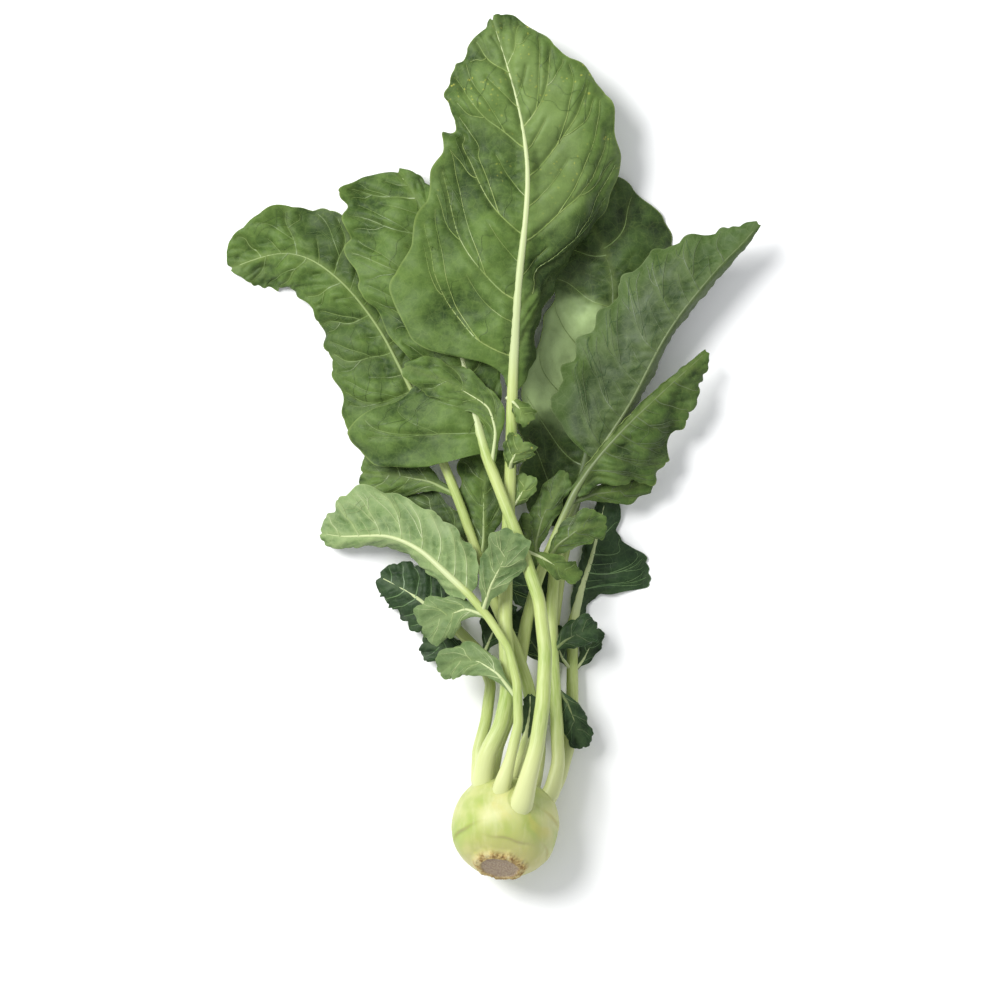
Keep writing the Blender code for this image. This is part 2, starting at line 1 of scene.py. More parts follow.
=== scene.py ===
import bpy
import numpy as np
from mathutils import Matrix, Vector


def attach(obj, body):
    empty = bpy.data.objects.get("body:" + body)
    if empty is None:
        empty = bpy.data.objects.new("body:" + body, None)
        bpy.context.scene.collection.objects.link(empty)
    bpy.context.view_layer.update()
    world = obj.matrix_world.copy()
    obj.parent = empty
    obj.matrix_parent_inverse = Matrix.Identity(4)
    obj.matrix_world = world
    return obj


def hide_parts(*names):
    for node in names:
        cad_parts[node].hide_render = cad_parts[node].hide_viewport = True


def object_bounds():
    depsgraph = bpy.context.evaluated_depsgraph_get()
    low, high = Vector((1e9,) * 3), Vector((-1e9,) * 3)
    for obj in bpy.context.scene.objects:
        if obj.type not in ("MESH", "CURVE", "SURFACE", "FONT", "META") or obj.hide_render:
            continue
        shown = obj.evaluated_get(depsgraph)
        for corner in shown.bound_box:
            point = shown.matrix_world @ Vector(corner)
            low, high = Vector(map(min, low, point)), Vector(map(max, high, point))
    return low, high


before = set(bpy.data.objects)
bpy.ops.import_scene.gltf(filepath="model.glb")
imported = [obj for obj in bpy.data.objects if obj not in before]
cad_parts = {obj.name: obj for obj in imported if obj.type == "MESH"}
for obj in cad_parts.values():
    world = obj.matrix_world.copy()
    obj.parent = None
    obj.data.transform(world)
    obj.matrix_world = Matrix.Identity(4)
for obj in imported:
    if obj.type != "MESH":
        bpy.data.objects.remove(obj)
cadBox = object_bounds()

# A kohlrabi as picked, lying on its side. Lengths are in millimetres until the last step of each piece.
# +X is to the right, +Y runs from the bulb to the leaf tips and +Z is up from the table.
mm = 0.001


# Shape helpers

def roundedLine(knots, values, at, blur):
    # A polyline of values read at the shares in at, as a bell-weighted mean over a few blur widths
    knots = np.asarray(knots, float)
    values = np.asarray(values, float)
    steps = np.linspace(-2, 2, 9)
    weights = np.exp(-steps**2) / np.exp(-steps**2).sum()
    first = (values[1] - values[0]) / (knots[1] - knots[0])
    last = (values[-1] - values[-2]) / (knots[-1] - knots[-2])
    total = np.zeros(np.shape(at))
    for step, weight in zip(steps, weights):
        x = at + step * blur
        y = np.interp(x, knots, values)
        total += weight * (y + np.minimum(x - knots[0], 0) * first + np.maximum(x - knots[-1], 0) * last)
    return total


def alongRoute(points, at, blur=0.05):
    # Points at shares of the length of a smooth line through a list of points
    points = np.asarray(points, float)
    lengths = np.linalg.norm(np.diff(points[:, :3], axis=0), axis=1)
    knots = np.concatenate([[0], np.cumsum(lengths)]) / lengths.sum()
    return np.stack([roundedLine(knots, column, at, blur) for column in points.T], axis=-1)


def smoothStep(low, high, x):
    # 0 below low, 1 above high and an S curve between
    t = np.clip((x - low) / (high - low), 0, 1)
    return t * t * (3 - 2 * t)


def softWaves(points, size, seed, count=18):
    # Soft noise between about -1 and 1: a sum of cosine waves, size long, in seeded directions and phases
    random = np.random.default_rng(seed)
    directions = random.normal(size=(3, count))
    directions *= 2 * np.pi / (size * random.uniform(0.7, 1.7, count) * np.linalg.norm(directions, axis=0))
    phases = random.uniform(0, 2 * np.pi, count)
    return np.cos(points @ directions + phases).sum(axis=-1) / np.sqrt(1.6 * count)


def surfaceNormals(points):
    # Unit cross product of the two grid directions, columns first
    down = np.gradient(points, axis=0)
    across = np.gradient(points, axis=1)
    normals = np.cross(across, down)
    return normals / np.maximum(np.linalg.norm(normals, axis=-1, keepdims=True), 1e-9)


def gridQuads(rows, columns, first=0, wrap=False):
    # The four corners of each cell of a grid, anticlockwise with the columns running right and the rows up
    numbers = np.arange(rows * columns).reshape(rows, columns) + first
    if wrap:
        numbers = np.concatenate([numbers, numbers[:, :1]], axis=1)
    corners = (numbers[:-1, :-1], numbers[:-1, 1:], numbers[1:, 1:], numbers[1:, :-1])
    return np.stack([corner.ravel() for corner in corners], axis=1)


# Mesh helpers

def newPiece():
    return dict(points=[], faces=[], uv=[], looks=[], gap=[], reach=[], along=[], count=0)


def addPart(piece, points, faces, uv, look, gap=1.0, reach=1.0, along=0.0):
    # Adds points (n, 3), a list of face arrays (m, corners) and the uv of each face's corners (m, corners, 2)
    total = len(points)
    for face, corner in zip(faces, uv):
        piece["faces"].append(face + piece["count"])
        piece["uv"].append(corner)
        piece["looks"].append(np.full(len(face), look))
    piece["points"].append(points)
    for name, value in (("gap", gap), ("reach", reach), ("along", along)):
        piece[name].append(np.broadcast_to(np.asarray(value, float).ravel(), total))
    piece["count"] += total


def makePiece(name, piece, materials, sharp=55):
    # One mesh object at the origin, in metres and kept inside the parts' box, with its uv map, its point
    # attributes and its materials
    mesh = bpy.data.meshes.new(name)
    points = np.clip(np.concatenate(piece["points"]) * mm, *np.asarray(cadBox, float))
    sizes = np.concatenate([np.full(len(face), face.shape[1]) for face in piece["faces"]])
    corners = np.concatenate([face.ravel() for face in piece["faces"]])
    mesh.vertices.add(len(points))
    mesh.vertices.foreach_set("co", points.astype(np.float32).ravel())
    mesh.loops.add(len(corners))
    mesh.loops.foreach_set("vertex_index", corners.astype(np.int32))
    mesh.polygons.add(len(sizes))
    starts = np.concatenate([[0], np.cumsum(sizes)[:-1]])
    mesh.polygons.foreach_set("loop_start", starts.astype(np.int32))
    mesh.polygons.foreach_set("material_index", np.concatenate(piece["looks"]).astype(np.int32))
    mesh.polygons.foreach_set("use_smooth", np.ones(len(sizes), bool))
    mesh.update(calc_edges=True)
    mesh.validate()
    layer = mesh.uv_layers.new(name="surface")
    places = np.concatenate([uv.reshape(-1, 2) for uv in piece["uv"]])
    layer.data.foreach_set("uv", places.astype(np.float32).ravel())
    for key in ("gap", "reach", "along"):
        values = mesh.attributes.new(key, "FLOAT", "POINT")
        values.data.foreach_set("value", np.concatenate(piece[key]).astype(np.float32))
    for material in materials:
        mesh.materials.append(material)
    mesh.set_sharp_from_angle(angle=np.radians(sharp))
    made = bpy.data.objects.new(name, mesh)
    bpy.context.scene.collection.objects.link(made)
    print(name, len(points), "points", int((sizes - 2).sum()), "triangles")
    return made


# Leaves

leafSheet = dict(
    thickness=0.5,          # blade, edge to edge
    puffSize=9.0,           # small bulges between the veins
    puffHeight=0.14,
    puffLevel=0.4,          # how far the blade stands over the level of its veins, over its quilting
    smallCrumple=(0.45, 0.32),  # the finer crumpling, in size and height over the leaf's own
    flatMargin=0.12,        # quilting dies out towards the margin and the midrib, and all relief at the tip
    flatMidrib=5.0,
    plainMidrib=8.0,
    flatTip=0.05,
    ruching=0.3,            # small ripples beside the midrib
    rippleLength=5.4,
    ripplePlace=6.0,
    rippleWidth=4.0,
    bend=1.1,               # how round a half is across, over its drop, and the limits of that
    bendLimits=(0.35, 1.35),
    stalkSides=20,
    stalkStep=1.9,
    stalkBumps=0.02,
    stalkGroove=0.06,
    midribFlat=0.18,
    midribTip=0.35,
    midribEnd=0.97,
)

veins = dict(
    mainRadius=0.52,        # a side vein where it leaves the midrib
    forkRadius=0.3,
    linkRadius=0.12,
    # the forks of a side vein: least and most share of the way out, spread, towards the tip or back, and size
    forks=((0.2, 0.36, 0.5, 1, 1.0), (0.42, 0.6, 0.42, -1, 0.8)),
    links=4,                # thin ones between two side veins, and on a small lobe
    smallLinks=1,
    step=1.5,
    sides=6,
    mainDip=2.3,            # half widths of the dips over veins and forks, and a fork's depth over a vein's
    forkDip=1.3,
    forkDepth=0.6,
    upperLift=0.35,         # how far a vein stands above the upper side and the underside, over its radius
    underLift=0.7,
    above=(0.13, 0.3, 0.36),    # and how far besides, by rank
    leastLength=(5, 7, 8),
    longestLink=32,
    leastReach=(10, 22, 26),    # a half narrower than this is left without the vein, by rank
    smallReach=0.3,             # the same on a small lobe, over these
    reachPoint=12,              # the point of a vein's line where that width is read
)


def readGrid(grid, u, v):
    # Bilinear reading of a grid, u from 0 to 1 down it and v from -1 to 1 across it
    rows, columns = grid.shape[:2]
    down = np.clip(u, 0, 1) * (rows - 1)
    across = (np.clip(v, -1, 1) + 1) / 2 * (columns - 1)
    row = np.minimum(down.astype(int), rows - 2)
    column = np.minimum(across.astype(int), columns - 2)
    down, across = (down - row)[:, None], (across - column)[:, None]
    low = grid[row, column] * (1 - across) + grid[row, column + 1] * across
    high = grid[row + 1, column] * (1 - across) + grid[row + 1, column + 1] * across
    return low * (1 - down) + high * down


def veinLine(leaf, side, phase, away):
    # The u and v of a line on one half. The phase counts that half's side veins, and the line bends towards
    # the tip with the share of the way out to the margin
    places = leaf["veinsLeft"] if side < 0 else leaf["veinsRight"]
    away = np.clip(away, 0, 0.97)
    inner = np.interp(phase, np.arange(-1, len(places) + 1), [0.0, *places, 0.975])
    return inner + (0.98 - inner) * leaf.get("veinCurve", 0.25) * away**1.7, side * away


def veinTree(leaf, side):
    # Side veins with a fork towards the tip, one back and a twig on each, a short vein between every two, and
    # thin links. Each line is its u, its v, its first and last radius and its rank
    random = np.random.default_rng(leaf["seed"] + (71 if side < 0 else 72))
    count = len(leaf["veinsLeft"] if side < 0 else leaf["veinsRight"])
    share = np.linspace(0, 1, 30)
    lines = []

    def add(phase, away, first, last, rank):
        lines.append((*veinLine(leaf, side, phase, away), first, last, rank))

    linkCount = veins["smallLinks"] if leaf.get("small") else veins["links"]
    for number in range(count):
        turns, start = random.uniform(0.7, 1.3), random.random()
        sway = 0.09 * share * np.sin(2 * np.pi * (turns * share + start))
        away = share * random.uniform(0.86, 0.94)
        add(number + sway, away, veins["mainRadius"], 0.12, 0)
        for low, high, most, sense, size in veins["forks"]:
            fork = random.uniform(low, high)
            gain = sense * random.uniform(0.75, 1.0) * most
            out = fork + (random.uniform(0.84, 0.93) - fork) * share
            base = number + np.interp(fork, away, sway)
            path = base + gain * share**0.75 + 0.04 * share * np.sin(7 * share + 9 * start)
            add(path, out, veins["forkRadius"] * size, 0.09, 1)
            part = random.uniform(0.35, 0.55)
            twig = np.interp(part, share, path) - sense * random.uniform(0.14, 0.24) * share**0.8
            far = np.interp(part, share, out)
            add(twig, far + (0.93 - far) * share, veins["linkRadius"] * 1.2, 0.08, 2)
        short = number + random.uniform(0.42, 0.6)
        add(short + 0.12 * share, random.uniform(0.3, 0.5) * share, veins["forkRadius"] * 0.8, 0.08, 1)
        for link in range(linkCount):
            place = 0.16 + 0.2 * link + random.uniform(-0.07, 0.07)
            slope, bow = random.uniform(-0.26, 0.12), random.uniform(-0.08, 0.08)
            wiggle = 0.018 * np.sin(11 * share + 6 * bow)
            ends = random.uniform(0.35, 1.0)
            add(number + share * ends, place + slope * share * ends + bow * share * (1 - share) * 4 + wiggle,
                veins["linkRadius"], 0.07, 2)
    loops = np.linspace(-0.6, count - 0.4, 12 * count)
    nearMargin = 0.9 - 0.05 * np.abs(np.sin(2.6 * loops + leaf["seed"]))
    add(loops, nearMargin, veins["linkRadius"], veins["linkRadius"], 2)
    return lines


def spaceOut(line, step):
    # Even distances along a line, about a step apart, and the distances of its own points
    lengths = np.concatenate([[0], np.cumsum(np.linalg.norm(np.diff(line, axis=0), axis=1))])
    count = max(3, int(lengths[-1] / step) + 1)
    return np.linspace(0, lengths[-1], count), lengths


def leastDistance(points, targets):
    # Distance from each point to the nearest target, from |p - q|^2 = p.p + q.q - 2 p.q, in blocks
    flat = points.reshape(-1, 3)
    square = (targets**2).sum(axis=1)
    found = []
    for block in np.array_split(flat, max(1, len(flat) // 4000)):
        found.append(((block**2).sum(axis=1)[:, None] + square - 2 * block @ targets.T).min(axis=1))
    return np.sqrt(np.maximum(np.concatenate(found), 0)).reshape(points.shape[:-1])


def bladeShape(leaf, u, v):
    # Each half of the blade is an elliptic arc from the midrib to its margin, and its outer part waves
    centre = alongRoute(leaf["midrib"], u)
    ahead = alongRoute(leaf["midrib"], u + 0.06, 0.12) - alongRoute(leaf["midrib"], u - 0.06, 0.12)
    ahead[..., 2] = 0
    ahead /= np.linalg.norm(ahead, axis=-1, keepdims=True)
    side = np.stack([ahead[..., 1], -ahead[..., 0], np.zeros(u.shape)], axis=-1)
    isLeft = v < 0
    away = np.abs(v)
    reach = []
    rise = []
    for rows in (leaf["left"], leaf["right"]):
        rows = np.asarray(rows, float)
        reach.append(roundedLine(rows[:, 0], rows[:, 1], u, 0.012))
        rise.append(roundedLine(rows[:, 0], rows[:, 2], u, 0.03))
    reach = np.where(isLeft, reach[0], reach[1])
    rise = np.where(isLeft, rise[0], rise[1])
    lean = np.asarray(leaf["lean"], float)
    lean = np.radians(roundedLine(lean[:, 0], lean[:, 1], u, 0.03))
    depth, count = leaf["teeth"]
    reach = reach * (1 + depth * away**4 * np.sin(2 * np.pi * count * u + 2.1 * isLeft))
    nickDepth, nicks = leaf["nicks"]
    wander = 0.4 * np.sin(2 * np.pi * 2.3 * u + leaf["seed"])
    wander += 0.25 * np.sin(2 * np.pi * 5.1 * u + 2 * leaf["seed"])
    saw = np.abs(np.sin(np.pi * (nicks * u + wander) + 1.1 * isLeft))
    reach = reach + nickDepth * away**8 * (saw - 0.75) * np.clip(reach / 12, 0, 1)
    bend = leaf.get("bend", leafSheet["bend"]) * np.abs(rise) / np.maximum(reach, 1)
    bend = np.clip(bend, *leafSheet["bendLimits"])
    across = reach * np.sin(away * bend) / np.sin(bend)
    up = rise * (1 - np.cos(away * bend)) / (1 - np.cos(bend))
    height, waves = leaf["ruffle"]
    fade = np.clip(reach / 14, 0, 1) * np.sin(np.pi * np.clip(u, 0, 1)) ** 0.4
    up = up + height * away**2.5 * fade * np.sin(2 * np.pi * waves * u + 1.3 + 2.4 * isLeft)
    up = up + 0.35 * height * away**4 * fade * np.sin(2 * np.pi * waves * 2.7 * u + 0.4 + leaf["seed"])
    direction = side * (np.cos(lean) * np.where(isLeft, -1, 1))[..., None] + ahead * np.sin(lean)[..., None]
    points = centre + direction * across[..., None]
    points[..., 2] += up
    return points, reach


def bladeRelief(leaf, points, reach, u, v, lines):
    # Dips over the veins with the leaf puffed up between them, soft bulges in three sizes, and ripples by the
    # midrib. It also gives how near a vein each point is, from 0 to 1
    fromMidrib = np.abs(v) * reach
    dips = []
    for rank in (0, 1):
        targets = [readGrid(points, *line[:2]) for line in lines if line[4] == rank]
        dips.append(leastDistance(points, np.concatenate(targets)))
    nearMain = np.exp(-((dips[0] / veins["mainDip"]) ** 2))
    nearFork = np.exp(-((dips[1] / veins["forkDip"]) ** 2))
    veined = np.maximum(nearMain, veins["forkDepth"] * nearFork)
    edge = smoothStep(0, leafSheet["flatMargin"], 1 - np.abs(v))
    edge *= smoothStep(0, leafSheet["flatMidrib"], fromMidrib)
    relief = leaf["quilt"] * (leafSheet["puffLevel"] - veined) * edge * leaf.get("face", 1)
    size, height = leaf["crumple"]
    smaller, lower = leafSheet["smallCrumple"]
    away = smoothStep(0, leafSheet["plainMidrib"], fromMidrib)
    relief += height * away * softWaves(points, size, leaf["seed"])
    relief += lower * height * away * softWaves(points, size * smaller, leaf["seed"] + 50)
    relief += leafSheet["puffHeight"] * away * softWaves(points, leafSheet["puffSize"], leaf["seed"] + 90)
    drift = 3 * softWaves(points, 24, leaf["seed"] + 30)
    ripple = np.sin(2 * np.pi * points[..., 1] / leafSheet["rippleLength"] + drift)
    beside = np.exp(-(((fromMidrib - leafSheet["ripplePlace"]) / leafSheet["rippleWidth"]) ** 2))
    relief += leafSheet["ruching"] * ripple * beside
    relief *= smoothStep(0, leafSheet["flatTip"], 1 - u)
    return relief, veined


def addVeins(piece, leaf, points, reach, normals, lines, looks):
    # Round cords laid along the veins, mostly sunk in the blade, thinner towards the margin
    lift = veins["underLift"] if leaf.get("face", 1) < 0 else veins["upperLift"]
    for u, v, first, last, rank in lines:
        even, lengths = spaceOut(readGrid(points, u, v), veins["step"])
        room = veins["leastReach"][rank] * (veins["smallReach"] if leaf.get("small") else 1)
        at = slice(veins["reachPoint"], veins["reachPoint"] + 1)
        narrow = readGrid(reach[..., None], u[at], v[at]) < max(leaf.get("leastReach", 0), room)
        long = rank == 2 and lengths[-1] > veins["longestLink"]
        if rank > leaf.get("lastRank", 2) or lengths[-1] < veins["leastLength"][rank] or long or narrow:
            continue
        share = even / lengths[-1]
        u, v = np.interp(even, lengths, u), np.interp(even, lengths, v)
        radius = leaf.get("veinSize", 1) * (first + (last - first) * share**0.8)
        upwards = readGrid(normals, u, v)
        above = leafSheet["thickness"] / 2 + veins["above"][rank] + (lift - 1) * radius
        line = readGrid(points, u, v) + upwards * above[:, None]
        addTube(piece, line, radius, looks[rank], sides=veins["sides"], upwards=upwards, ribs=0.0)


def addBlade(piece, leaf, looks):
    # A closed sheet and its veins: the blade with its relief, moved half a thickness each way, and a rim
    rows, columns = leaf["fine"]
    u, v = np.meshgrid(np.linspace(0, 1, rows), np.linspace(-1, 1, columns), indexing="ij")
    points, reach = bladeShape(leaf, u, v)
    lines = veinTree(leaf, -1) + veinTree(leaf, 1)
    relief, veined = bladeRelief(leaf, points, reach, u, v, lines)
    points = points + surfaceNormals(points) * relief[..., None]
    normals = surfaceNormals(points)
    thick = leafSheet["thickness"] / 2
    points[..., 2] = np.maximum(points[..., 2], thick + 0.05)
    top = (points + normals * thick).reshape(-1, 3)
    under = (points - normals * thick).reshape(-1, 3)
    under[:, 2] = np.maximum(under[:, 2], 0.02)
    total = rows * columns
    quads = gridQuads(rows, columns)
    grid = np.arange(total).reshape(rows, columns)
    loop = np.concatenate([grid[0, :-1], grid[:-1, -1], grid[-1, :0:-1], grid[:0:-1, 0]])
    ahead = np.roll(loop, -1)
    rim = np.stack([loop + total, ahead + total, ahead, loop], axis=1)
    mapped = np.stack([u.ravel(), v.ravel()], axis=1)
    upper, lower, *veinLooks = looks
    first = piece["count"]
    # The relief's height from 0 to 1, kept for the colour: it paints shade into the hollows and light onto
    # the ridges
    high = smoothStep(-1.2, 1.2, relief / (0.4 * leaf["quilt"] + 0.6 * leaf["crumple"][1]))
    twice = [np.concatenate([value.ravel()] * 2) for value in (veined, np.abs(v) * reach, high)]
    addPart(piece, np.concatenate([top, under]), [quads], [mapped[quads]], upper, *twice)
    piece["faces"] += [(quads + total)[:, ::-1] + first, rim + first]
    piece["uv"] += [mapped[quads][:, ::-1], mapped[np.stack([loop, ahead, ahead, loop], axis=1)]]
    piece["looks"] += [np.full(len(quads), lower), np.full(len(rim), upper)]
    addVeins(piece, leaf, points, reach, normals, lines, veinLooks)


def addTube(piece, line, radius, look, flat=0.0, groove=0.0, along=0.0, ribs=0.015,
            sides=leafSheet["stalkSides"], upwards=(0, 0, 1.0)):
    # A ring of points carried along a line, with a groove along its top and fine ribs, and closed at its ends
    tangent = np.gradient(line, axis=0)
    tangent /= np.linalg.norm(tangent, axis=1, keepdims=True)
    side = np.cross(tangent, upwards)
    side /= np.linalg.norm(side, axis=1, keepdims=True)
    up = np.cross(side, tangent)
    angle = np.linspace(0, 2 * np.pi, sides, endpoint=False)[None, :]
    shape = 1 + ribs * np.cos(8 * angle) - groove * np.exp(-(((angle - np.pi / 2) / 0.5) ** 2))
    flat = np.broadcast_to(flat, len(line))[:, None]
    outX = shape * np.cos(angle) * (1 + 0.5 * flat) * radius[:, None]
    outZ = shape * np.sin(angle) * (1 - flat) * radius[:, None]
    rings = line[:, None] + side[:, None] * outX[..., None] + up[:, None] * outZ[..., None]
    rows = len(line)
    quads = gridQuads(rows, sides, wrap=True)[:, ::-1]
    points = np.concatenate([rings.reshape(-1, 3), line[:1], line[-1:]])
    first = np.arange(sides)
    start = np.stack([np.full(sides, rows * sides), first, np.roll(first, -1)], axis=1)
    last = first + (rows - 1) * sides
    end = np.stack([np.full(sides, rows * sides + 1), np.roll(last, -1), last], axis=1)
    lengths = np.concatenate([[0], np.cumsum(np.linalg.norm(np.diff(line, axis=0), axis=1))])
    turn = (np.arange(sides + 1) / sides)[None, :] + np.zeros((rows, 1))
    far = lengths[:, None] + np.zeros((1, sides + 1))
    mapped = np.stack([turn, far / 100], axis=-1).reshape(-1, 2)
    corners = mapped[gridQuads(rows, sides + 1)][:, ::-1]
    caps = [np.full((sides, 3, 2), 0.5)] * 2
    along = np.broadcast_to(along, rows)
    share = np.concatenate([np.repeat(along, sides), along[[0, -1]]])
    addPart(piece, points, [quads, start, end], [corners, *caps], look, 1.0, 1.0, share)


def addStalk(piece, leaf, look):
    # The round stalk, flared at the bulb, which runs on as a flatter midrib half sunk in the blade
    start = np.asarray(leaf["stalk"], float)
    share = np.linspace(0, 1, 24)
    rib = alongRoute(leaf["midrib"], share * leafSheet["midribEnd"])
    ribRadius = start[-1, 3] + (leafSheet["midribTip"] - start[-1, 3]) * share**leaf.get("ribTaper", 0.62)
    ribRadius = ribRadius * (1 + (leaf.get("ribSize", 1) - 1) * smoothStep(0, 0.15, share))
    stalkLine = np.column_stack([start, np.zeros(len(start))])
    ribLine = np.column_stack([rib, ribRadius, smoothStep(0, 0.12, share)])
    line = np.vstack([stalkLine, ribLine])
    length = np.linalg.norm(np.diff(line[:, :3], axis=0), axis=1).sum()
    count = int(length / leafSheet["stalkStep"])
    line = alongRoute(line, np.linspace(0, 1, count), 0.4 / len(line))
    inBlade = np.clip(line[:, 4], 0, 1)
    deepest = line[:, 3] - leafSheet["thickness"] / 2 - 0.15
    line[:, 2] -= np.minimum(leaf.get("ribSink", 0.45) * line[:, 3], deepest) * inBlade
    bumps = 1 + leafSheet["stalkBumps"] * softWaves(line[:, :3], 16, leaf["seed"] + 7)
    flat, groove = leafSheet["midribFlat"] * inBlade, leafSheet["stalkGroove"] * (1 - inBlade[:, None])
    addTube(piece, line[:, :3], line[:, 3] * bumps, look, flat, groove, inBlade)


# A small lobe: its spoon outline over its half width, and the values that all of them share
lobeOutline = [(0, 0.1), (0.2, 0.22), (0.4, 0.75), (0.65, 1.0), (0.85, 0.8), (0.95, 0.45), (1, 0.12)]
lobeForm = dict(lean=[(0, 10), (1, 40)], ruffle=(1.2, 2.5), teeth=(0.12, 4), nicks=(1.0, 7), small=True,
                veinsLeft=[0.22, 0.5, 0.72], veinsRight=[0.32, 0.6], veinSize=0.7, quilt=0.8,
                crumple=(14, 1.0), fine=(54, 32))


def addLeaflet(piece, leaf, lobe, number, looks):
    # A small lobe on the stalk, as a blade with a spoon outline and a fine midrib
    outline = [(u, share * lobe["halfWidth"], share * lobe["drop"]) for u, share in lobeOutline]
    seed = leaf["seed"] + 11 * (number + 1)
    small = dict(lobeForm, midrib=lobe["midrib"], left=outline, right=outline, seed=seed,
                 face=leaf.get("face", 1))
    addBlade(piece, small, looks)
    share = np.linspace(0, 0.93, 40)
    rib = alongRoute(lobe["midrib"], share)
    rib[:, 2] -= 0.25
    addTube(piece, rib, 1.25 - 1.0 * share**0.7, 2, 0.1, 0.0, 1.0)


def growLeaf(node, leaf, materials):
    # The piece for a leaf's node: blade, stalk and small lobes. The foot of its stalk is noted for the bulb.
    # The materials are of the upper side, underside, stalk, dark lobes, main veins and thin veins
    piece = newPiece()
    addBlade(piece, leaf, (0, 1, 4, 4, 5))
    addStalk(piece, leaf, 2)
    for number, lobe in enumerate(leaf.get("leaflets", [])):
        addLeaflet(piece, leaf, lobe, number, (leaf.get("lobeLook", 0), 1, 4, 5, 5))
    made = makePiece(node + "_grown", piece, materials)
    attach(made, "root")
    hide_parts(node)
    bulb["bases"].append(leaf["stalk"][:3])


# Material helpers

def addNode(tree, kind, inputs=(), **settings):
    # A shader node with its settings and its inputs, each a plain value or another node's output
    made = tree.nodes.new(kind)
    for name, value in settings.items():
        setattr(made, name, value)
    for name, value in dict(inputs).items():
        if isinstance(value, bpy.types.NodeSocket):
            tree.links.new(value, made.inputs[name])
        else:
            made.inputs[name].default_value = value
    return made


def calc(tree, operation, first, second=0.0, third=0.0, clamp=False):
    return addNode(tree, "ShaderNodeMath", {0: first, 1: second, 2: third}, operation=operation,
                   use_clamp=clamp).outputs[0]


def ramp(tree, value, low, high, start=0.0, end=1.0):
    # An S curve from start at low to end at high
    limits = {"Value": value, "From Min": low, "From Max": high, "To Min": start, "To Max": end}
    return addNode(tree, "ShaderNodeMapRange", limits, interpolation_type="SMOOTHSTEP").outputs[0]


def blend(tree, share, first, second):
    mixed = addNode(tree, "ShaderNodeMix", data_type="RGBA")
    for socket, value in ((mixed.inputs[0], share), (mixed.inputs[6], first), (mixed.inputs[7], second)):
        if isinstance(value, bpy.types.NodeSocket):
            tree.links.new(value, socket)
        else:
            socket.default_value = value
    return mixed.outputs[2]


def noise(tree, place, scale, detail=3.0, rough=0.55, distort=0.0):
    return addNode(tree, "ShaderNodeTexNoise", {"Vector": place, "Scale": scale, "Detail": detail,
                                                "Roughness": rough, "Distortion": distort}).outputs[0]


def newMaterial(name, colour, roughness):
    material = bpy.data.materials.new(name)
    material.use_nodes = True
    shader = material.node_tree.nodes["Principled BSDF"]
    shader.inputs["Base Color"].default_value = colour
    shader.inputs["Roughness"].default_value = roughness
    shader.inputs["Metallic"].default_value = 0
    return material, material.node_tree, shader


def finishSurface(tree, shader, colour, height, distance, strength=1.0):
    # Colour and bump into the shader
    tree.links.new(colour, shader.inputs["Base Color"])
    bump = addNode(tree, "ShaderNodeBump", {"Height": height, "Strength": strength, "Distance": distance})
    tree.links.new(bump.outputs[0], shader.inputs["Normal"])


# Bulb

bulb = dict(
    centre=(0.0, 0.0, 28.1),
    radius=30.0,
    halfLength=26.0,
    squareness=2.2,          # 2 is an ellipsoid
    swelling=1.1,            # under a stalk 5 in radius, and how fast it falls off to the sides
    swellingWidth=0.045,
    tilt=33.0,               # degrees, root end up
    turn=-8.0,               # degrees, root end to the left of the stalks' side
    rings=200,
    segments=280,
    rimRadius=15.0,          # the corky rim round the root
    cutRadius=10.0,
    stubLength=2.6,
    rimHeight=0.9,           # its torn edge, and how wide that is
    rimWidth=1.7,
    cutDepth=1.0,
    ledgeWidth=0.12,         # how far a scar's ledge reaches, how sharp its step is and how wide its line
    ledgeStep=0.022,
    scarWidth=0.015,
    seamWidth=0.6,           # the dark line where a stalk meets the bulb
    # angle round the bulb, height towards the crown, half length round, ledge height
    scars=[(0.5, 0.05, 0.42, 0.6), (1.35, -0.66, 0.5, 0.7), (2.7, -0.42, 0.4, 0.9), (3.9, -0.2, 0.5, 0.8),
           (5.1, -0.55, 0.5, 0.8), (0.15, -0.5, 0.4, 0.5)],
    bases=[],                # where each leaf stalk stands, filled in as the leaves are grown
)


# Leaf finishes

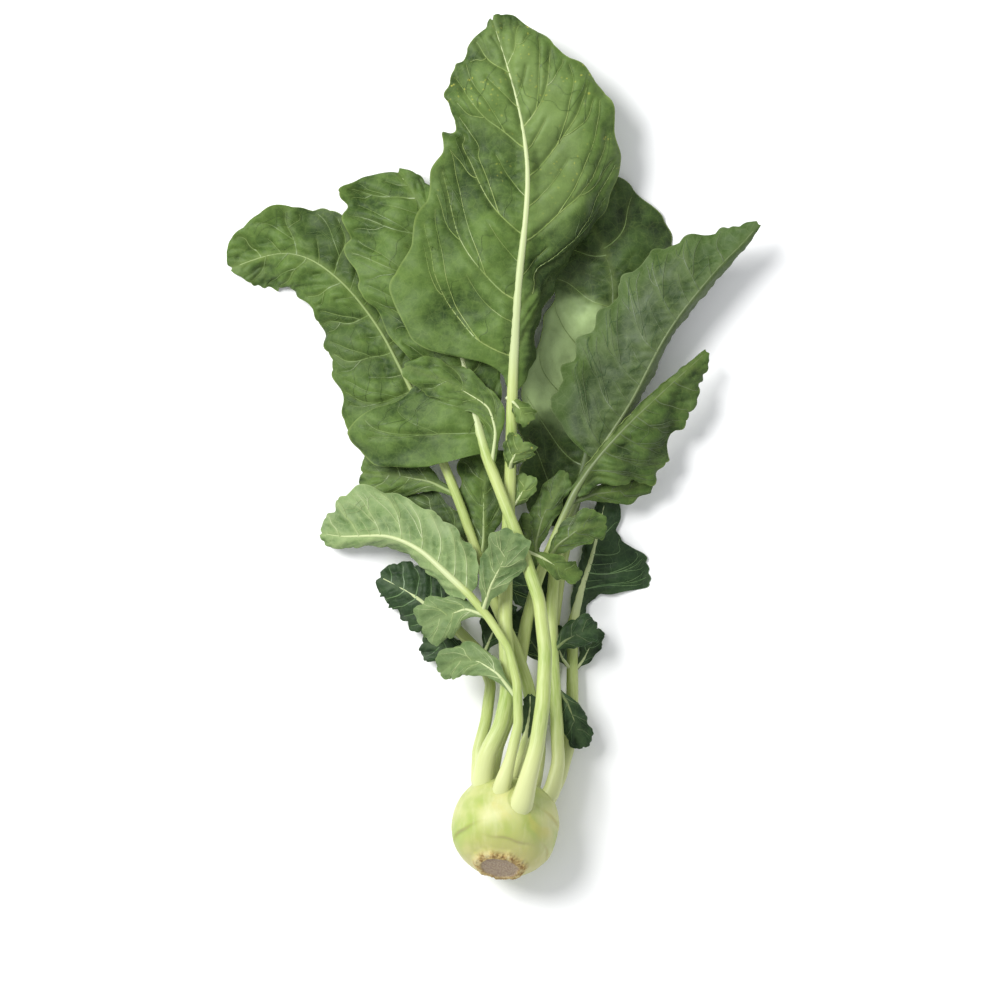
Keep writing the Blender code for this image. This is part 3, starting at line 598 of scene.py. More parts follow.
def bladeMaterial(name, look):
    # Green blade: paler by its veins, over a fine net and soft mottling, with yellow specks on some. The
    # mottling is partly random and partly painted shade in the hollows of the relief, with painted light on
    # its ridges. An area is darker or lighter: its first and last share along the blade, the same across, its
    # tint and strength. The areas of the top, left and under leaves are painted light and painted shade
    material, tree, shader = newMaterial(name, look["green"], look["roughness"])
    shader.inputs["Specular IOR Level"].default_value = look["specular"]
    shader.inputs["Sheen Weight"].default_value = look["sheen"]
    shader.inputs["Sheen Roughness"].default_value = 0.4
    place = addNode(tree, "ShaderNodeTexCoord").outputs["Object"]
    mapped = addNode(tree, "ShaderNodeUVMap", uv_map="surface").outputs[0]
    across = addNode(tree, "ShaderNodeSeparateXYZ", {0: mapped})
    away = calc(tree, "ABSOLUTE", across.outputs[1])
    veined = addNode(tree, "ShaderNodeAttribute", attribute_name="gap").outputs["Fac"]
    fromMidrib = addNode(tree, "ShaderNodeAttribute", attribute_name="reach").outputs["Fac"]
    high = addNode(tree, "ShaderNodeAttribute", attribute_name="along").outputs["Fac"]
    # The fine net: cell edges on bent coordinates, in two sizes
    bend = addNode(tree, "ShaderNodeTexNoise", {"Vector": place, "Scale": 220.0}).outputs[1]
    bend = addNode(tree, "ShaderNodeVectorMath", {0: bend, "Scale": 0.0022}, operation="SCALE").outputs[0]
    bent = addNode(tree, "ShaderNodeVectorMath", {0: place, 1: bend}, operation="ADD").outputs[0]
    net = []
    for scale, width, strength in ((170.0, 0.05, look["net"]), (460.0, 0.08, 0.55 * look["net"])):
        cells = addNode(tree, "ShaderNodeTexVoronoi", {"Vector": bent, "Scale": scale},
                        feature="DISTANCE_TO_EDGE")
        net.append(ramp(tree, cells.outputs[0], 0.0, width, strength, 0.0))
    net = calc(tree, "MAXIMUM", net[0], net[1])
    # Soft mottling, partly random and partly painted shade: darker in the hollows of the relief
    mottleAndHollowShade = ramp(tree, calc(tree, "MULTIPLY_ADD", high, 0.4, noise(tree, place, 20.0, 4.0)), 0.5, 0.86)
    fine = ramp(tree, noise(tree, place, 150.0, 4.0, 0.65), 0.3, 0.7)
    bloom = ramp(tree, noise(tree, place, 46.0, 3.0, 0.6, 0.6), 0.45, 0.75, 0.0, look["bloomShare"])
    colour = blend(tree, mottleAndHollowShade, look["dark"], look["green"])
    patchy = ramp(tree, noise(tree, place, 75.0, 5.0, 0.65, 0.5), 0.45, 0.58, 0.0, 0.6)
    colour = blend(tree, patchy, colour, look["dark"])
    # Lighter with the fine noise and on the relief's ridges: partly random tone, partly painted light on the
    # ridges
    colour = blend(tree, calc(tree, "MULTIPLY", calc(tree, "MULTIPLY_ADD", high, 0.8, fine), 0.54), colour,
                   look["light"])
    colour = blend(tree, bloom, colour, look["bloom"])
    swayed = calc(tree, "MULTIPLY_ADD", noise(tree, place, 40.0, 3.0), 0.16, -0.08)
    for first, last, inner, outer, tint, share in look.get("areas", []):
        down = calc(tree, "ADD", across.outputs[0], swayed)
        over = calc(tree, "ADD", across.outputs[1], swayed)
        inside = calc(tree, "MULTIPLY", ramp(tree, down, first - 0.05, first + 0.05),
                      ramp(tree, down, last - 0.05, last + 0.05, share, 0.0))
        inside = calc(tree, "MULTIPLY", inside, ramp(tree, over, inner - 0.12, inner + 0.12))
        inside = calc(tree, "MULTIPLY", inside, ramp(tree, over, outer - 0.12, outer + 0.12, 1.0, 0.0))
        colour = blend(tree, inside, colour, tint)
    halo = calc(tree, "MULTIPLY", calc(tree, "POWER", veined, 2.0), look["halo"])
    colour = blend(tree, halo, colour, look["vein"])
    colour = blend(tree, ramp(tree, fromMidrib, 0.5, 4.0, look["halo"], 0.0), colour, look["vein"])
    colour = blend(tree, net, colour, look["vein"])
    colour = blend(tree, ramp(tree, away, 0.975, 1.0, 0.0, 0.4), colour, look["vein"])
    if look.get("specks"):
        dots = addNode(tree, "ShaderNodeTexVoronoi", {"Vector": bent, "Scale": 330.0, "Randomness": 1.0})
        where = ramp(tree, noise(tree, place, 60.0, 3.0), 0.5, 0.6)
        uneven = calc(tree, "MULTIPLY_ADD", noise(tree, place, 700.0, 2.0), 0.5, dots.outputs[0])
        dot = calc(tree, "MULTIPLY", ramp(tree, uneven, 0.36, 0.52, 1.0, 0.0), where)
        outer = calc(tree, "MULTIPLY_ADD", away, 0.8, 0.15)
        dot = calc(tree, "MULTIPLY", dot, outer)
        dot = calc(tree, "MULTIPLY", dot, ramp(tree, across.outputs[0], 0.3, 0.6, 0.0, 0.85))
        colour = blend(tree, dot, colour, look["specks"])
    height = calc(tree, "MULTIPLY_ADD", net, look["netHeight"], calc(tree, "MULTIPLY", fine, 0.4))
    finishSurface(tree, shader, colour, height, 0.00035, 0.8)
    return material


def veinMaterial(name, colour, tinge):
    # Smooth pale vein, greener in places
    material, tree, shader = newMaterial(name, colour, 0.42)
    place = addNode(tree, "ShaderNodeTexCoord").outputs["Object"]
    share = ramp(tree, noise(tree, place, 60.0, 3.0), 0.35, 0.65)
    finishSurface(tree, shader, blend(tree, share, colour, tinge), share, 0.0001, 0.3)
    return material


def stalkMaterial(name, look):
    # Pale stalk: fine lines along it, greener in places and whiter where it runs into the blade as the midrib
    material, tree, shader = newMaterial(name, look["pale"], 0.42)
    shader.inputs["Specular IOR Level"].default_value = 0.4
    place = addNode(tree, "ShaderNodeTexCoord").outputs["Object"]
    uv = addNode(tree, "ShaderNodeUVMap", uv_map="surface").outputs[0]
    stretched = addNode(tree, "ShaderNodeMapping", {"Vector": uv, "Scale": (1.0, 0.35, 1.0)}).outputs[0]
    lines = noise(tree, stretched, 26.0, 3.0, 0.6)
    inBlade = addNode(tree, "ShaderNodeAttribute", attribute_name="along").outputs["Fac"]
    patch = ramp(tree, noise(tree, place, 22.0, 2.0), 0.35, 0.7)
    colour = blend(tree, patch, look["pale"], look["green"])
    colour = blend(tree, ramp(tree, lines, 0.35, 0.7, 0.0, 0.55), colour, look["light"])
    colour = blend(tree, calc(tree, "MULTIPLY", inBlade, 0.85, clamp=True), colour, look["midrib"])
    fromBulb = addNode(tree, "ShaderNodeSeparateXYZ", {0: place}).outputs[1]
    colour = blend(tree, ramp(tree, fromBulb, 0.15, 0.185, 0.0, look["early"]), colour, look["midrib"])
    colour = blend(tree, ramp(tree, fromBulb, 0.02, 0.075, 0.9, 0.0), colour, look["foot"])
    finishSurface(tree, shader, colour, lines, 0.00025, 0.5)
    return material


greens = dict(
    fresh=dict(
        green=(0.042, 0.085, 0.012, 1), dark=(0.013, 0.034, 0.0045, 1), light=(0.098, 0.163, 0.033, 1),
        bloom=(0.12, 0.17, 0.066, 1), bloomShare=0.25, vein=(0.22, 0.29, 0.075, 1), halo=0.14,
        net=0.12, netHeight=-0.8, roughness=0.56, specular=0.2, sheen=0.0),
    paleUnderside=dict(
        green=(0.125, 0.205, 0.064, 1), dark=(0.07, 0.13, 0.036, 1), light=(0.19, 0.265, 0.105, 1),
        bloom=(0.24, 0.31, 0.16, 1), bloomShare=0.6, vein=(0.34, 0.42, 0.18, 1), halo=0.25,
        net=0.25, netHeight=0.9, roughness=0.58, specular=0.2, sheen=0.0),
    softUnderside=dict(
        green=(0.086, 0.150, 0.046, 1), dark=(0.045, 0.092, 0.024, 1), light=(0.13, 0.19, 0.072, 1),
        bloom=(0.16, 0.22, 0.10, 1), bloomShare=0.5, vein=(0.26, 0.34, 0.13, 1), halo=0.22,
        net=0.22, netHeight=0.9, roughness=0.58, specular=0.2, sheen=0.0),
    dullUnderside=dict(
        green=(0.042, 0.078, 0.016, 1), dark=(0.018, 0.038, 0.008, 1), light=(0.082, 0.12, 0.040, 1),
        bloom=(0.115, 0.145, 0.095, 1), bloomShare=0.6, vein=(0.16, 0.21, 0.085, 1), halo=0.16,
        areas=[(-1, 2, -2, -0.72, (0.062, 0.112, 0.018, 1), 0.6),
               (0.74, 2, -2, 2, (0.045, 0.088, 0.014, 1), 0.7)],
        net=0.2, netHeight=0.9, roughness=0.58, specular=0.2, sheen=0.0),
    dark=dict(
        green=(0.010, 0.028, 0.008, 1), dark=(0.004, 0.013, 0.004, 1), light=(0.023, 0.052, 0.016, 1),
        bloom=(0.038, 0.074, 0.034, 1), bloomShare=0.25, vein=(0.12, 0.19, 0.07, 1), halo=0.12,
        net=0.14, netHeight=-0.8, roughness=0.56, specular=0.22, sheen=0.0),
)
freshGreen = bladeMaterial("freshBlade", greens["fresh"])
# Tints for painted light and painted shade on a blade
litTint = (0.17, 0.245, 0.075, 1)
shadeTint = (0.010, 0.024, 0.005, 1)
# The top leaf's blade: yellow specks, painted light over its middle and upper part, and painted shade on the
# steep fold of its right half and on a strip of its left half
speckledGreen = bladeMaterial("speckledBlade", dict(
    greens["fresh"], specks=(0.36, 0.36, 0.06, 1),
    areas=[(0.42, 0.9, 0.06, 0.62, litTint, 0.5), (0.6, 2, -0.8, 0.8, litTint, 0.18),
           (0.06, 0.42, 0.5, 2, shadeTint, 0.75), (0.3, 0.6, -0.9, -0.6, shadeTint, 0.3)]))
# The left leaf's blade, with painted shade over its right half from the base to past the middle and on a
# strip of its left half
paintedShadeGreen = bladeMaterial("paintedShadeBlade", dict(
    greens["fresh"], areas=[(-1, 0.3, 0.0, 2, shadeTint, 0.5), (0.2, 0.5, -2, -0.45, shadeTint, 0.35),
                           (0.34, 0.68, 0.08, 2, shadeTint, 0.6)]))
paleUnderside = bladeMaterial("paleUnderside", greens["paleUnderside"])
softUnderside = bladeMaterial("softUnderside", greens["softUnderside"])
dullUnderside = bladeMaterial("dullUnderside", greens["dullUnderside"])
# A dark blade, partly the leaves' own dark green and partly painted shade, for the low leaves, the young
# leaf, the hidden side of the right leaf and the lobes of the right and under leaves
darkShadedGreen = bladeMaterial("darkShadedBlade", greens["dark"])
brightVein = veinMaterial("brightVein", (0.24, 0.31, 0.09, 1), (0.16, 0.24, 0.055, 1))
softVein = veinMaterial("softVein", (0.165, 0.235, 0.068, 1), (0.11, 0.175, 0.042, 1))
faintVein = veinMaterial("faintVein", (0.092, 0.15, 0.034, 1), (0.065, 0.118, 0.022, 1))
whiteVein = veinMaterial("whiteVein", (0.32, 0.39, 0.18, 1), (0.23, 0.31, 0.11, 1))
darkVein = veinMaterial("darkVein", (0.055, 0.115, 0.035, 1), (0.035, 0.085, 0.025, 1))
oliveVein = veinMaterial("oliveVein", (0.105, 0.145, 0.06, 1), (0.07, 0.105, 0.038, 1))
dullVein = veinMaterial("dullVein", (0.12, 0.20, 0.075, 1), (0.07, 0.14, 0.045, 1))
stalkLook = dict(pale=(0.39, 0.46, 0.145, 1), green=(0.25, 0.35, 0.07, 1), light=(0.48, 0.54, 0.24, 1),
                 midrib=(0.46, 0.52, 0.27, 1), foot=(0.54, 0.57, 0.27, 1), early=0.0)
paleStalk = stalkMaterial("paleStalk", stalkLook)
oliveStalk = stalkMaterial("oliveStalk", dict(stalkLook, midrib=(0.12, 0.16, 0.06, 1), early=0.9))
softStalk = stalkMaterial("softStalk", dict(stalkLook, midrib=(0.21, 0.28, 0.10, 1)))
dimStalk = stalkMaterial("dimStalk", dict(stalkLook, midrib=(0.085, 0.125, 0.04, 1), early=0.9))
shadyGreen = bladeMaterial("shadyBlade", dict(greens["fresh"], green=(0.030, 0.064, 0.010, 1),
                                              dark=(0.008, 0.022, 0.004, 1), light=(0.072, 0.125, 0.026, 1)))
# The wide under leaf's blade: dark green that stands for the top leaf's cast shadow, with a painted pool of
# light where its left half is lit
castShadowGreen = bladeMaterial("castShadowBlade", dict(
    greens["fresh"], green=(0.018, 0.038, 0.008, 1), dark=(0.006, 0.016, 0.003, 1),
    light=(0.046, 0.084, 0.018, 1),
    areas=[(0.3, 0.62, -0.98, -0.1, (0.36, 0.48, 0.21, 1), 0.85)]))


# The long central leaf, upper side up, with three small lobes on its stalk
leafTop = dict(
    seed=3, fine=(236, 100), quilt=1.9, crumple=(36, 3.4), nicks=(0.7, 15), ribTaper=0.75, ribSink=0.1,
    leastReach=25, veinsLeft=[0.1, 0.247, 0.416, 0.645, 0.85],
    veinsRight=[0.122, 0.223, 0.4, 0.57, 0.7, 0.87], veinCurve=0.3, veinSize=1.1, bend=2.4,
    ruffle=(1.6, 5.5), teeth=(0.03, 9),
    stalk=[(-8, 12, 30, 7), (-13, 25, 35, 6), (-10, 42, 38.5, 5), (-2, 58, 39.5, 4.6), (1.5, 75, 39.5, 4.3),
           (1, 95, 38.5, 4.1), (0, 118, 36, 3.9), (0.5, 145, 34, 3.7), (2, 175, 34, 3.5), (3, 200, 36, 3.3),
           (3.5, 222, 39, 3.1)],
    midrib=[(4, 242.5, 42), (4.8, 264, 44.5), (6, 284.5, 46.5), (7.5, 306, 47.5), (10, 327, 48),
            (12.3, 348, 47.5), (13, 369, 46), (10.4, 390, 44), (5.6, 411.6, 41), (-0.5, 432, 37),
            (-7, 452, 32.5)],
    left=[(0, 1.5, 0), (0.05, 6, 0), (0.085, 16, -1), (0.11, 42, -2), (0.14, 60, -4), (0.2, 71, -6),
          (0.3, 64, -6), (0.4, 61, -5), (0.5, 57, -5), (0.54, 57, -5), (0.56, 47, -4), (0.61, 52, -4),
          (0.7, 50, -5), (0.8, 36, -4), (0.9, 19, -3), (0.96, 8, -2), (1, 2, 0)],
    right=[(0, 1.5, 0), (0.05, 8, -6), (0.1, 11, -12), (0.2, 13, -18), (0.3, 22, -25), (0.4, 50, -22),
           (0.5, 60, -18), (0.6, 58, -13), (0.7, 48, -9), (0.8, 34, -7), (0.9, 23, -5), (0.96, 14, -3),
           (1, 3, 0)],
    lean=[(0, 20), (0.08, 0), (0.12, -6), (0.2, 8), (0.3, 20), (0.5, 32), (0.7, 39), (0.8, 43), (0.9, 50),
          (1, 62)],
    leaflets=[dict(midrib=[(1, 241, 42), (5, 238, 44.5), (9.5, 233, 44.5), (14, 228, 42)],
                   halfWidth=7, drop=-1),
              dict(midrib=[(2.8, 201, 38), (3.5, 205, 43.5), (6, 210, 45), (10, 216, 44.5)],
                   halfWidth=11, drop=-1),
              dict(midrib=[(2, 178, 34), (6, 182, 35.5), (9.5, 188, 35.5), (12.5, 197, 34)],
                   halfWidth=7.5, drop=-1)],
)
growLeaf("leaf_top", leafTop,
         [speckledGreen, paleUnderside, paleStalk, darkShadedGreen, brightVein, faintVein])


# The leaf of the thick main stalk, upper side up, its tip folded down
leafUpperLeft = dict(
    seed=5, fine=(196, 82), quilt=1.7, crumple=(30, 2.6), nicks=(0.8, 14),
    veinsLeft=[0.07, 0.24, 0.42, 0.58, 0.74, 0.88], veinsRight=[0.08, 0.26, 0.44, 0.62, 0.8],
    veinCurve=0.07, ruffle=(1.4, 5), teeth=(0.04, 8),
    stalk=[(5, 6, 46, 8), (9, 14, 53, 6.6), (13, 30, 57.5, 5), (17.5, 46, 58.5, 4.4), (21, 71, 57, 4),
           (22.4, 99, 53.5, 3.8), (19, 128, 49.5, 3.6), (9, 158, 46, 3.4), (-1, 184, 42.5, 3.1)],
    midrib=[(-11, 210, 39), (-19, 240, 35.5), (-25, 268, 32.5), (-32, 296, 29.5), (-39, 322, 26.5),
            (-46, 345, 23), (-54, 360, 18), (-60, 368, 11)],
    left=[(0, 34, -4), (0.02, 62, -8), (0.06, 72, -11), (0.11, 71, -11), (0.16, 62, -9), (0.2, 38, -5),
          (0.25, 24, -3), (0.32, 34, -5), (0.45, 48, -8), (0.6, 55, -9), (0.72, 50, -8), (0.82, 46, -7),
          (0.9, 40, -5), (0.96, 23, -3), (1, 4, 0)],
    right=[(0, 2, 0), (0.1, 14, -2), (0.3, 26, -3), (0.6, 28, -4), (0.8, 16, -3), (0.92, 10, -2),
           (1, 3, 0)],
    lean=[(0, 2), (0.06, 7), (0.14, 10), (0.22, 14), (0.4, 24), (0.7, 30), (0.88, 34), (1, 42)],
    leaflets=[dict(midrib=[(-8, 200, 40.5), (-5, 222, 41.5), (-9, 236, 39.5), (-32, 250, 38), (-56, 258, 35)],
                   halfWidth=13, drop=-1.5),
              dict(midrib=[(10, 156, 46), (20, 152, 47), (30, 146, 44.5), (42, 141, 40)],
                   halfWidth=7.5, drop=-1)],
)
growLeaf("leaf_upper_left", leafUpperLeft,
         [freshGreen, paleUnderside, paleStalk, darkShadedGreen, softVein, faintVein])


# The leaf that reaches furthest left, upper side up
leafLeft = dict(
    seed=8, ribSink=-0.35, ribTaper=0.3, ribSize=0.7, fine=(206, 72), quilt=1.7, crumple=(28, 2.8),
    nicks=(0.8, 16), veinsLeft=[0.06, 0.22, 0.38, 0.54, 0.7, 0.86],
    veinsRight=[0.08, 0.25, 0.42, 0.58, 0.74, 0.88], veinCurve=0.12, ruffle=(1.5, 5), teeth=(0.04, 8),
    stalk=[(10, 12, 22, 5.5), (16, 25, 23.5, 4.6), (19, 42, 24, 4.1), (17, 62, 25, 3.7), (12, 83, 27, 3.4),
           (4.5, 104, 28.6, 3.2), (-7, 129, 28, 3), (-16, 155, 27, 2.8), (-24, 178, 26, 2.7),
           (-31, 196, 25, 2.6), (-42, 222, 22, 2.4)],
    midrib=[(-48, 237, 20.5), (-56, 252, 19.5), (-62, 264, 18.5), (-68, 276, 17.5), (-79, 292, 16.5),
            (-91, 306, 16), (-106, 318, 15), (-118, 323, 12.5), (-130, 323, 9), (-143, 319, 5),
            (-154, 315, 2)],
    left=[(0, 30, -5), (0.02, 43, -9), (0.06, 44, -10), (0.13, 39, -10), (0.2, 35, -9), (0.35, 31, -10),
          (0.5, 23, -9), (0.65, 21, -8), (0.8, 24, -9), (0.9, 14, -4), (1, 2, 0)],
    right=[(0, 2, 0), (0.08, 12, -3), (0.2, 20, -7), (0.35, 26, -9), (0.5, 29, -8), (0.62, 31, -6),
           (0.72, 29, -4), (0.82, 25, -2), (0.9, 18, -1), (0.96, 11, 0), (1, 3, 0)],
    lean=[(0, -10), (0.1, -3), (0.3, 5), (0.7, 15), (1, 45)],
    leaflets=[dict(midrib=[(-28, 187, 25.5), (-42, 194, 23), (-58, 197, 18.5), (-80, 199, 13)],
                   halfWidth=16, drop=-2),
              dict(midrib=[(-14, 147, 28), (-12, 161, 26.5), (-12, 177, 25), (-12, 194, 23.5),
                           (-12, 213, 22)], halfWidth=17, drop=-2),
              dict(midrib=[(-17, 153, 27.5), (-28, 166, 25), (-42, 175, 20), (-60, 177, 13)],
                   halfWidth=16, drop=-2)],
)
growLeaf("leaf_left", leafLeft,
         [paintedShadeGreen, paleUnderside, softStalk, darkShadedGreen, softVein, faintVein])


# The pale leaf with its underside up and its veins standing out
leafLowerLeft = dict(
    seed=13, fine=(170, 66), lobeLook=3, quilt=0.9, crumple=(22, 1.2), nicks=(1.0, 13), face=-1,
    ribSink=-0.15, veinsLeft=[0.05, 0.2, 0.36, 0.52, 0.68, 0.84],
    veinsRight=[0.03, 0.13, 0.25, 0.37, 0.5, 0.63, 0.76, 0.88], ruffle=(1.4, 4.5), teeth=(0.05, 8),
    stalk=[(-3, 14, 42, 6.6), (-1.5, 25, 48, 4.8), (3, 40, 50.5, 3), (7.5, 59, 51, 2.7),
           (6.7, 82, 49.5, 2.6), (2, 101, 47.5, 2.4), (-9, 118, 45.5, 2.3)],
    midrib=[(-20, 131, 43.5), (-33, 143, 40), (-46, 155, 35.5), (-57, 161, 31), (-67, 164, 27),
            (-80, 163.5, 21.5), (-92, 163, 15.5), (-103, 165, 9)],
    left=[(0, 4, 0), (0.1, 8, -6), (0.3, 7, -12), (0.5, 6, -13), (0.7, 6, -9), (0.82, 8, -6), (0.92, 8, -3),
          (1, 2, 0)],
    right=[(0, 6, 0), (0.06, 15, -1), (0.12, 20, -2), (0.25, 22, -3), (0.4, 21, -4), (0.55, 24, -5),
           (0.68, 29, -6), (0.8, 21, -5), (0.9, 13, -3), (0.96, 7, -2), (1, 2, 0)],
    lean=[(0, 0), (0.5, 8), (1, 40)],
    leaflets=[dict(midrib=[(-13, 120, 45), (-8, 136, 52), (-1, 150, 54.5), (5, 165, 54.5)],
                   halfWidth=14.5, drop=-0.5),
              dict(midrib=[(-10, 119, 45), (-22, 123, 42), (-33, 119, 36), (-46, 113, 30)],
                   halfWidth=15, drop=-4),
              dict(midrib=[(6, 74, 50), (-4, 87, 48.5), (-15, 94, 43), (-27, 94, 36), (-36, 87, 29)],
                   halfWidth=11, drop=-3)],
)
growLeaf("leaf_lower_left", leafLowerLeft,
         [paleUnderside, freshGreen, paleStalk, softUnderside, whiteVein, whiteVein])


# The large leaf at the right, underside up, folded under along its midrib
leafRight = dict(
    seed=17, fine=(196, 72), lobeLook=1, ribTaper=0.3, ribSize=0.75, quilt=0.9, crumple=(30, 1.2),
    nicks=(1.1, 18), face=-1, ribSink=-0.1, veinSize=0.85,
    veinsLeft=[0.05, 0.17, 0.3, 0.43, 0.56, 0.69, 0.82], veinsRight=[0.06, 0.2, 0.35, 0.5, 0.65, 0.8, 0.92],
    ruffle=(1.5, 6), teeth=(0.06, 9),
    stalk=[(18, 12, 29, 6.2), (26, 19, 29, 4.9), (30, 36, 27.5, 3.7), (29, 60, 24, 3.5), (27, 90, 21, 3.5),
           (26, 120, 19, 3.4), (28, 148, 18, 3.1), (36, 175, 18.5, 2.7), (45, 195, 20, 2.2)],
    midrib=[(51, 207, 21), (60, 222, 22.5), (67, 232, 24), (73, 242.5, 26), (80.4, 257.6, 28.5),
            (88, 272.7, 30.5), (98, 288, 32), (111, 304, 33), (122, 317, 33), (134, 328, 32),
            (142, 338, 30)],
    left=[(0, 3, 0), (0.05, 24, 0), (0.1, 36, 1), (0.15, 41, 1), (0.3, 42, -2), (0.45, 37, -5),
          (0.6, 37, -7), (0.7, 31, -7), (0.8, 21, -5), (0.9, 12, -4), (0.96, 7, -2), (1, 2, 0)],
    right=[(0, 2, -1), (0.15, 3.5, -6), (0.4, 4, -11), (0.7, 4, -12), (0.9, 3, -6), (1, 1.5, 0)],
    lean=[(0, -18), (0.15, 0), (0.5, 6), (1, 24)],
    leaflets=[dict(midrib=[(26, 98, 20.5), (34, 105, 25), (43, 110, 26), (51, 111, 23)],
                   halfWidth=10, drop=-2),
              dict(midrib=[(28, 80, 22), (35, 70, 22), (40, 57, 20), (44, 45, 17)], halfWidth=9, drop=-3)],
)
growLeaf("leaf_right", leafRight,
         [dullUnderside, darkShadedGreen, oliveStalk, darkShadedGreen, oliveVein, darkVein])


# The leaf with the dark curled margin, upper side up
leafLowerRight = dict(
    seed=21, fine=(172, 66), quilt=1.2, crumple=(20, 1.8), nicks=(1.6, 13), ribTaper=0.35, ribSink=0.15,
    ribSize=0.8, veinsLeft=[0.05, 0.2, 0.36, 0.52, 0.68, 0.84],
    veinsRight=[0.04, 0.14, 0.26, 0.38, 0.5, 0.63, 0.76, 0.88], ruffle=(1.3, 4), teeth=(0.07, 7),
    stalk=[(-5, 14, 25, 6), (-9, 27, 22, 5), (-5, 45, 20, 4.2), (3, 65, 18, 3.9), (8, 90, 17.5, 3.7),
           (12, 115, 19.5, 3.4), (18, 138, 24, 3), (25, 156, 27, 2.6), (33, 175, 28.5, 2.1)],
    midrib=[(39, 188, 29), (47.6, 201.6, 30.5), (57, 213, 31.5), (69, 226, 31.5), (81, 237.4, 30.5),
            (93.5, 249, 28), (104.7, 259, 24.5), (113, 267, 20)],
    left=[(0, 3, 0), (0.3, 3, 0.5), (0.6, 4, 0), (0.85, 3, -1), (1, 1.5, 0)],
    right=[(0, 4, 0), (0.1, 9, -1), (0.15, 12, -2), (0.22, 22, -5), (0.3, 31, -9), (0.4, 32, -11),
           (0.5, 27, -11), (0.6, 22, -9), (0.75, 17, -7), (0.87, 11, -4), (1, 2, 0)],
    lean=[(0, -10), (0.5, 0), (1, 22)],
    leaflets=[dict(midrib=[(22, 148, 25.8), (30, 159, 33), (42, 168, 35), (56, 170, 33)],
                   halfWidth=11, drop=-1.5),
              dict(midrib=[(36, 182, 28.5), (50, 187, 24), (66, 189, 20), (83, 195, 15)],
                   halfWidth=9, drop=-3),
              dict(midrib=[(20, 144, 25.5), (17, 158, 27), (21, 174, 28), (27, 186, 28), (34, 199, 26)],
                   halfWidth=9, drop=-1),
              dict(midrib=[(16, 134, 23), (14, 147, 25.5), (12, 160, 26.5), (13, 176, 26)],
                   halfWidth=8, drop=-1)],
)
growLeaf("leaf_lower_right", leafLowerRight,
         [shadyGreen, paleUnderside, oliveStalk, darkShadedGreen, oliveVein, oliveVein])


# The wide leaf behind the top and right leaves
leafUnder = dict(
    seed=26, lastRank=0, fine=(172, 66), lobeLook=3, quilt=1.2, crumple=(28, 1.8), nicks=(1.0, 14),
    veinsLeft=[0.04, 0.18, 0.33, 0.48, 0.63, 0.78], veinsRight=[0.06, 0.2, 0.35, 0.5, 0.65, 0.8],
    ruffle=(1.2, 5), teeth=(0.05, 7),
    stalk=[(3, 12, 18, 6), (6, 23, 12, 4.8), (13, 42, 8, 4.3), (20, 65, 6.8, 4.1), (25, 90, 6.5, 4),
           (27, 115, 6.4, 3.9), (30, 138, 6.4, 3.7), (32.5, 152, 6.6, 3.5)],
    midrib=[(36, 168, 7), (41, 188, 7.8), (45.5, 206, 8.8), (49, 224, 10), (53, 251, 12), (60, 279, 14),
            (61.6, 304, 15), (59, 316, 15), (55, 328, 14.5), (49, 338, 13), (42, 349, 11), (34, 358, 8)],
    left=[(0, 16, 0), (0.04, 27, 2), (0.12, 33, 3), (0.2, 36, 4), (0.28, 40, 4), (0.35, 44, 5),
          (0.45, 41, 5), (0.55, 37, 3), (0.65, 35, 1), (0.78, 31, -2), (0.89, 23, -3), (0.96, 12, -2),
          (1, 3, 0)],
    right=[(0, 2, 0), (0.15, 3, 0), (0.23, 5, 0), (0.33, 17, -2), (0.55, 24, -5), (0.67, 33, -10),
           (0.74, 38, -13), (0.79, 39, -14), (0.85, 33, -11), (0.91, 25, -8), (0.96, 15, -5), (1, 3, -1)],
    lean=[(0, -8), (0.2, -4), (0.35, -6), (0.5, 5), (0.78, 12), (1, 40)],
    leaflets=[dict(midrib=[(27, 112, 6.4), (22, 122, 9), (16, 133, 10), (9, 144, 9)],
                   halfWidth=15, drop=-1),
              dict(midrib=[(25, 88, 6.5), (19, 98, 8.5), (12, 108, 9.5), (4, 117, 9)],
                   halfWidth=13, drop=-1)],
)
growLeaf("leaf_under", leafUnder,
         [castShadowGreen, paleUnderside, dimStalk, darkShadedGreen, softVein, dullVein])


# The leaf low at the right, dark green with painted shade
leafLowRight = dict(
    seed=31, fine=(140, 60), quilt=0.9, crumple=(16, 0.9), nicks=(1.3, 12),
    veinsLeft=[0.05, 0.2, 0.35, 0.5, 0.65, 0.8], veinsRight=[0.04, 0.14, 0.24, 0.35, 0.47, 0.6, 0.75, 0.9],
    ruffle=(0.8, 4), teeth=(0.06, 6),
    stalk=[(14, 6, 18, 6), (23, 13, 15, 4.6), (31, 28, 12, 3.8), (36, 45, 10, 3.5), (38, 70, 8, 3.4),
           (38, 95, 6, 3.2)],
    midrib=[(38, 113, 5), (43, 133, 4.6), (48.7, 150, 4.6), (53, 167, 5), (56.6, 183.7, 5.4),
            (60, 199, 5.6)],
    left=[(0, 2, 0), (0.3, 6, 0), (0.7, 6, 0), (1, 2, 0)],
    right=[(0, 3, 0), (0.22, 9, -2), (0.3, 24, -4), (0.36, 34, -4.6), (0.45, 35, -4.8), (0.5, 31, -4),
           (0.55, 17, -3), (0.62, 11, -2), (0.86, 9, -1), (1, 3, 0)],
    lean=[(0, -5), (0.3, 0), (1, 25)],
    leaflets=[dict(midrib=[(37, 88, 7.5), (32, 95, 12.5), (29, 104, 13), (27, 113, 12.5)],
                   halfWidth=6.5, drop=-0.5),
              dict(midrib=[(38, 86, 7), (44, 93, 6), (48.5, 102, 4.5), (52, 111, 3)],
                   halfWidth=7, drop=-1)],
)
growLeaf("leaf_low_right", leafLowRight,
         [darkShadedGreen, paleUnderside, paleStalk, darkShadedGreen, dullVein, darkVein])
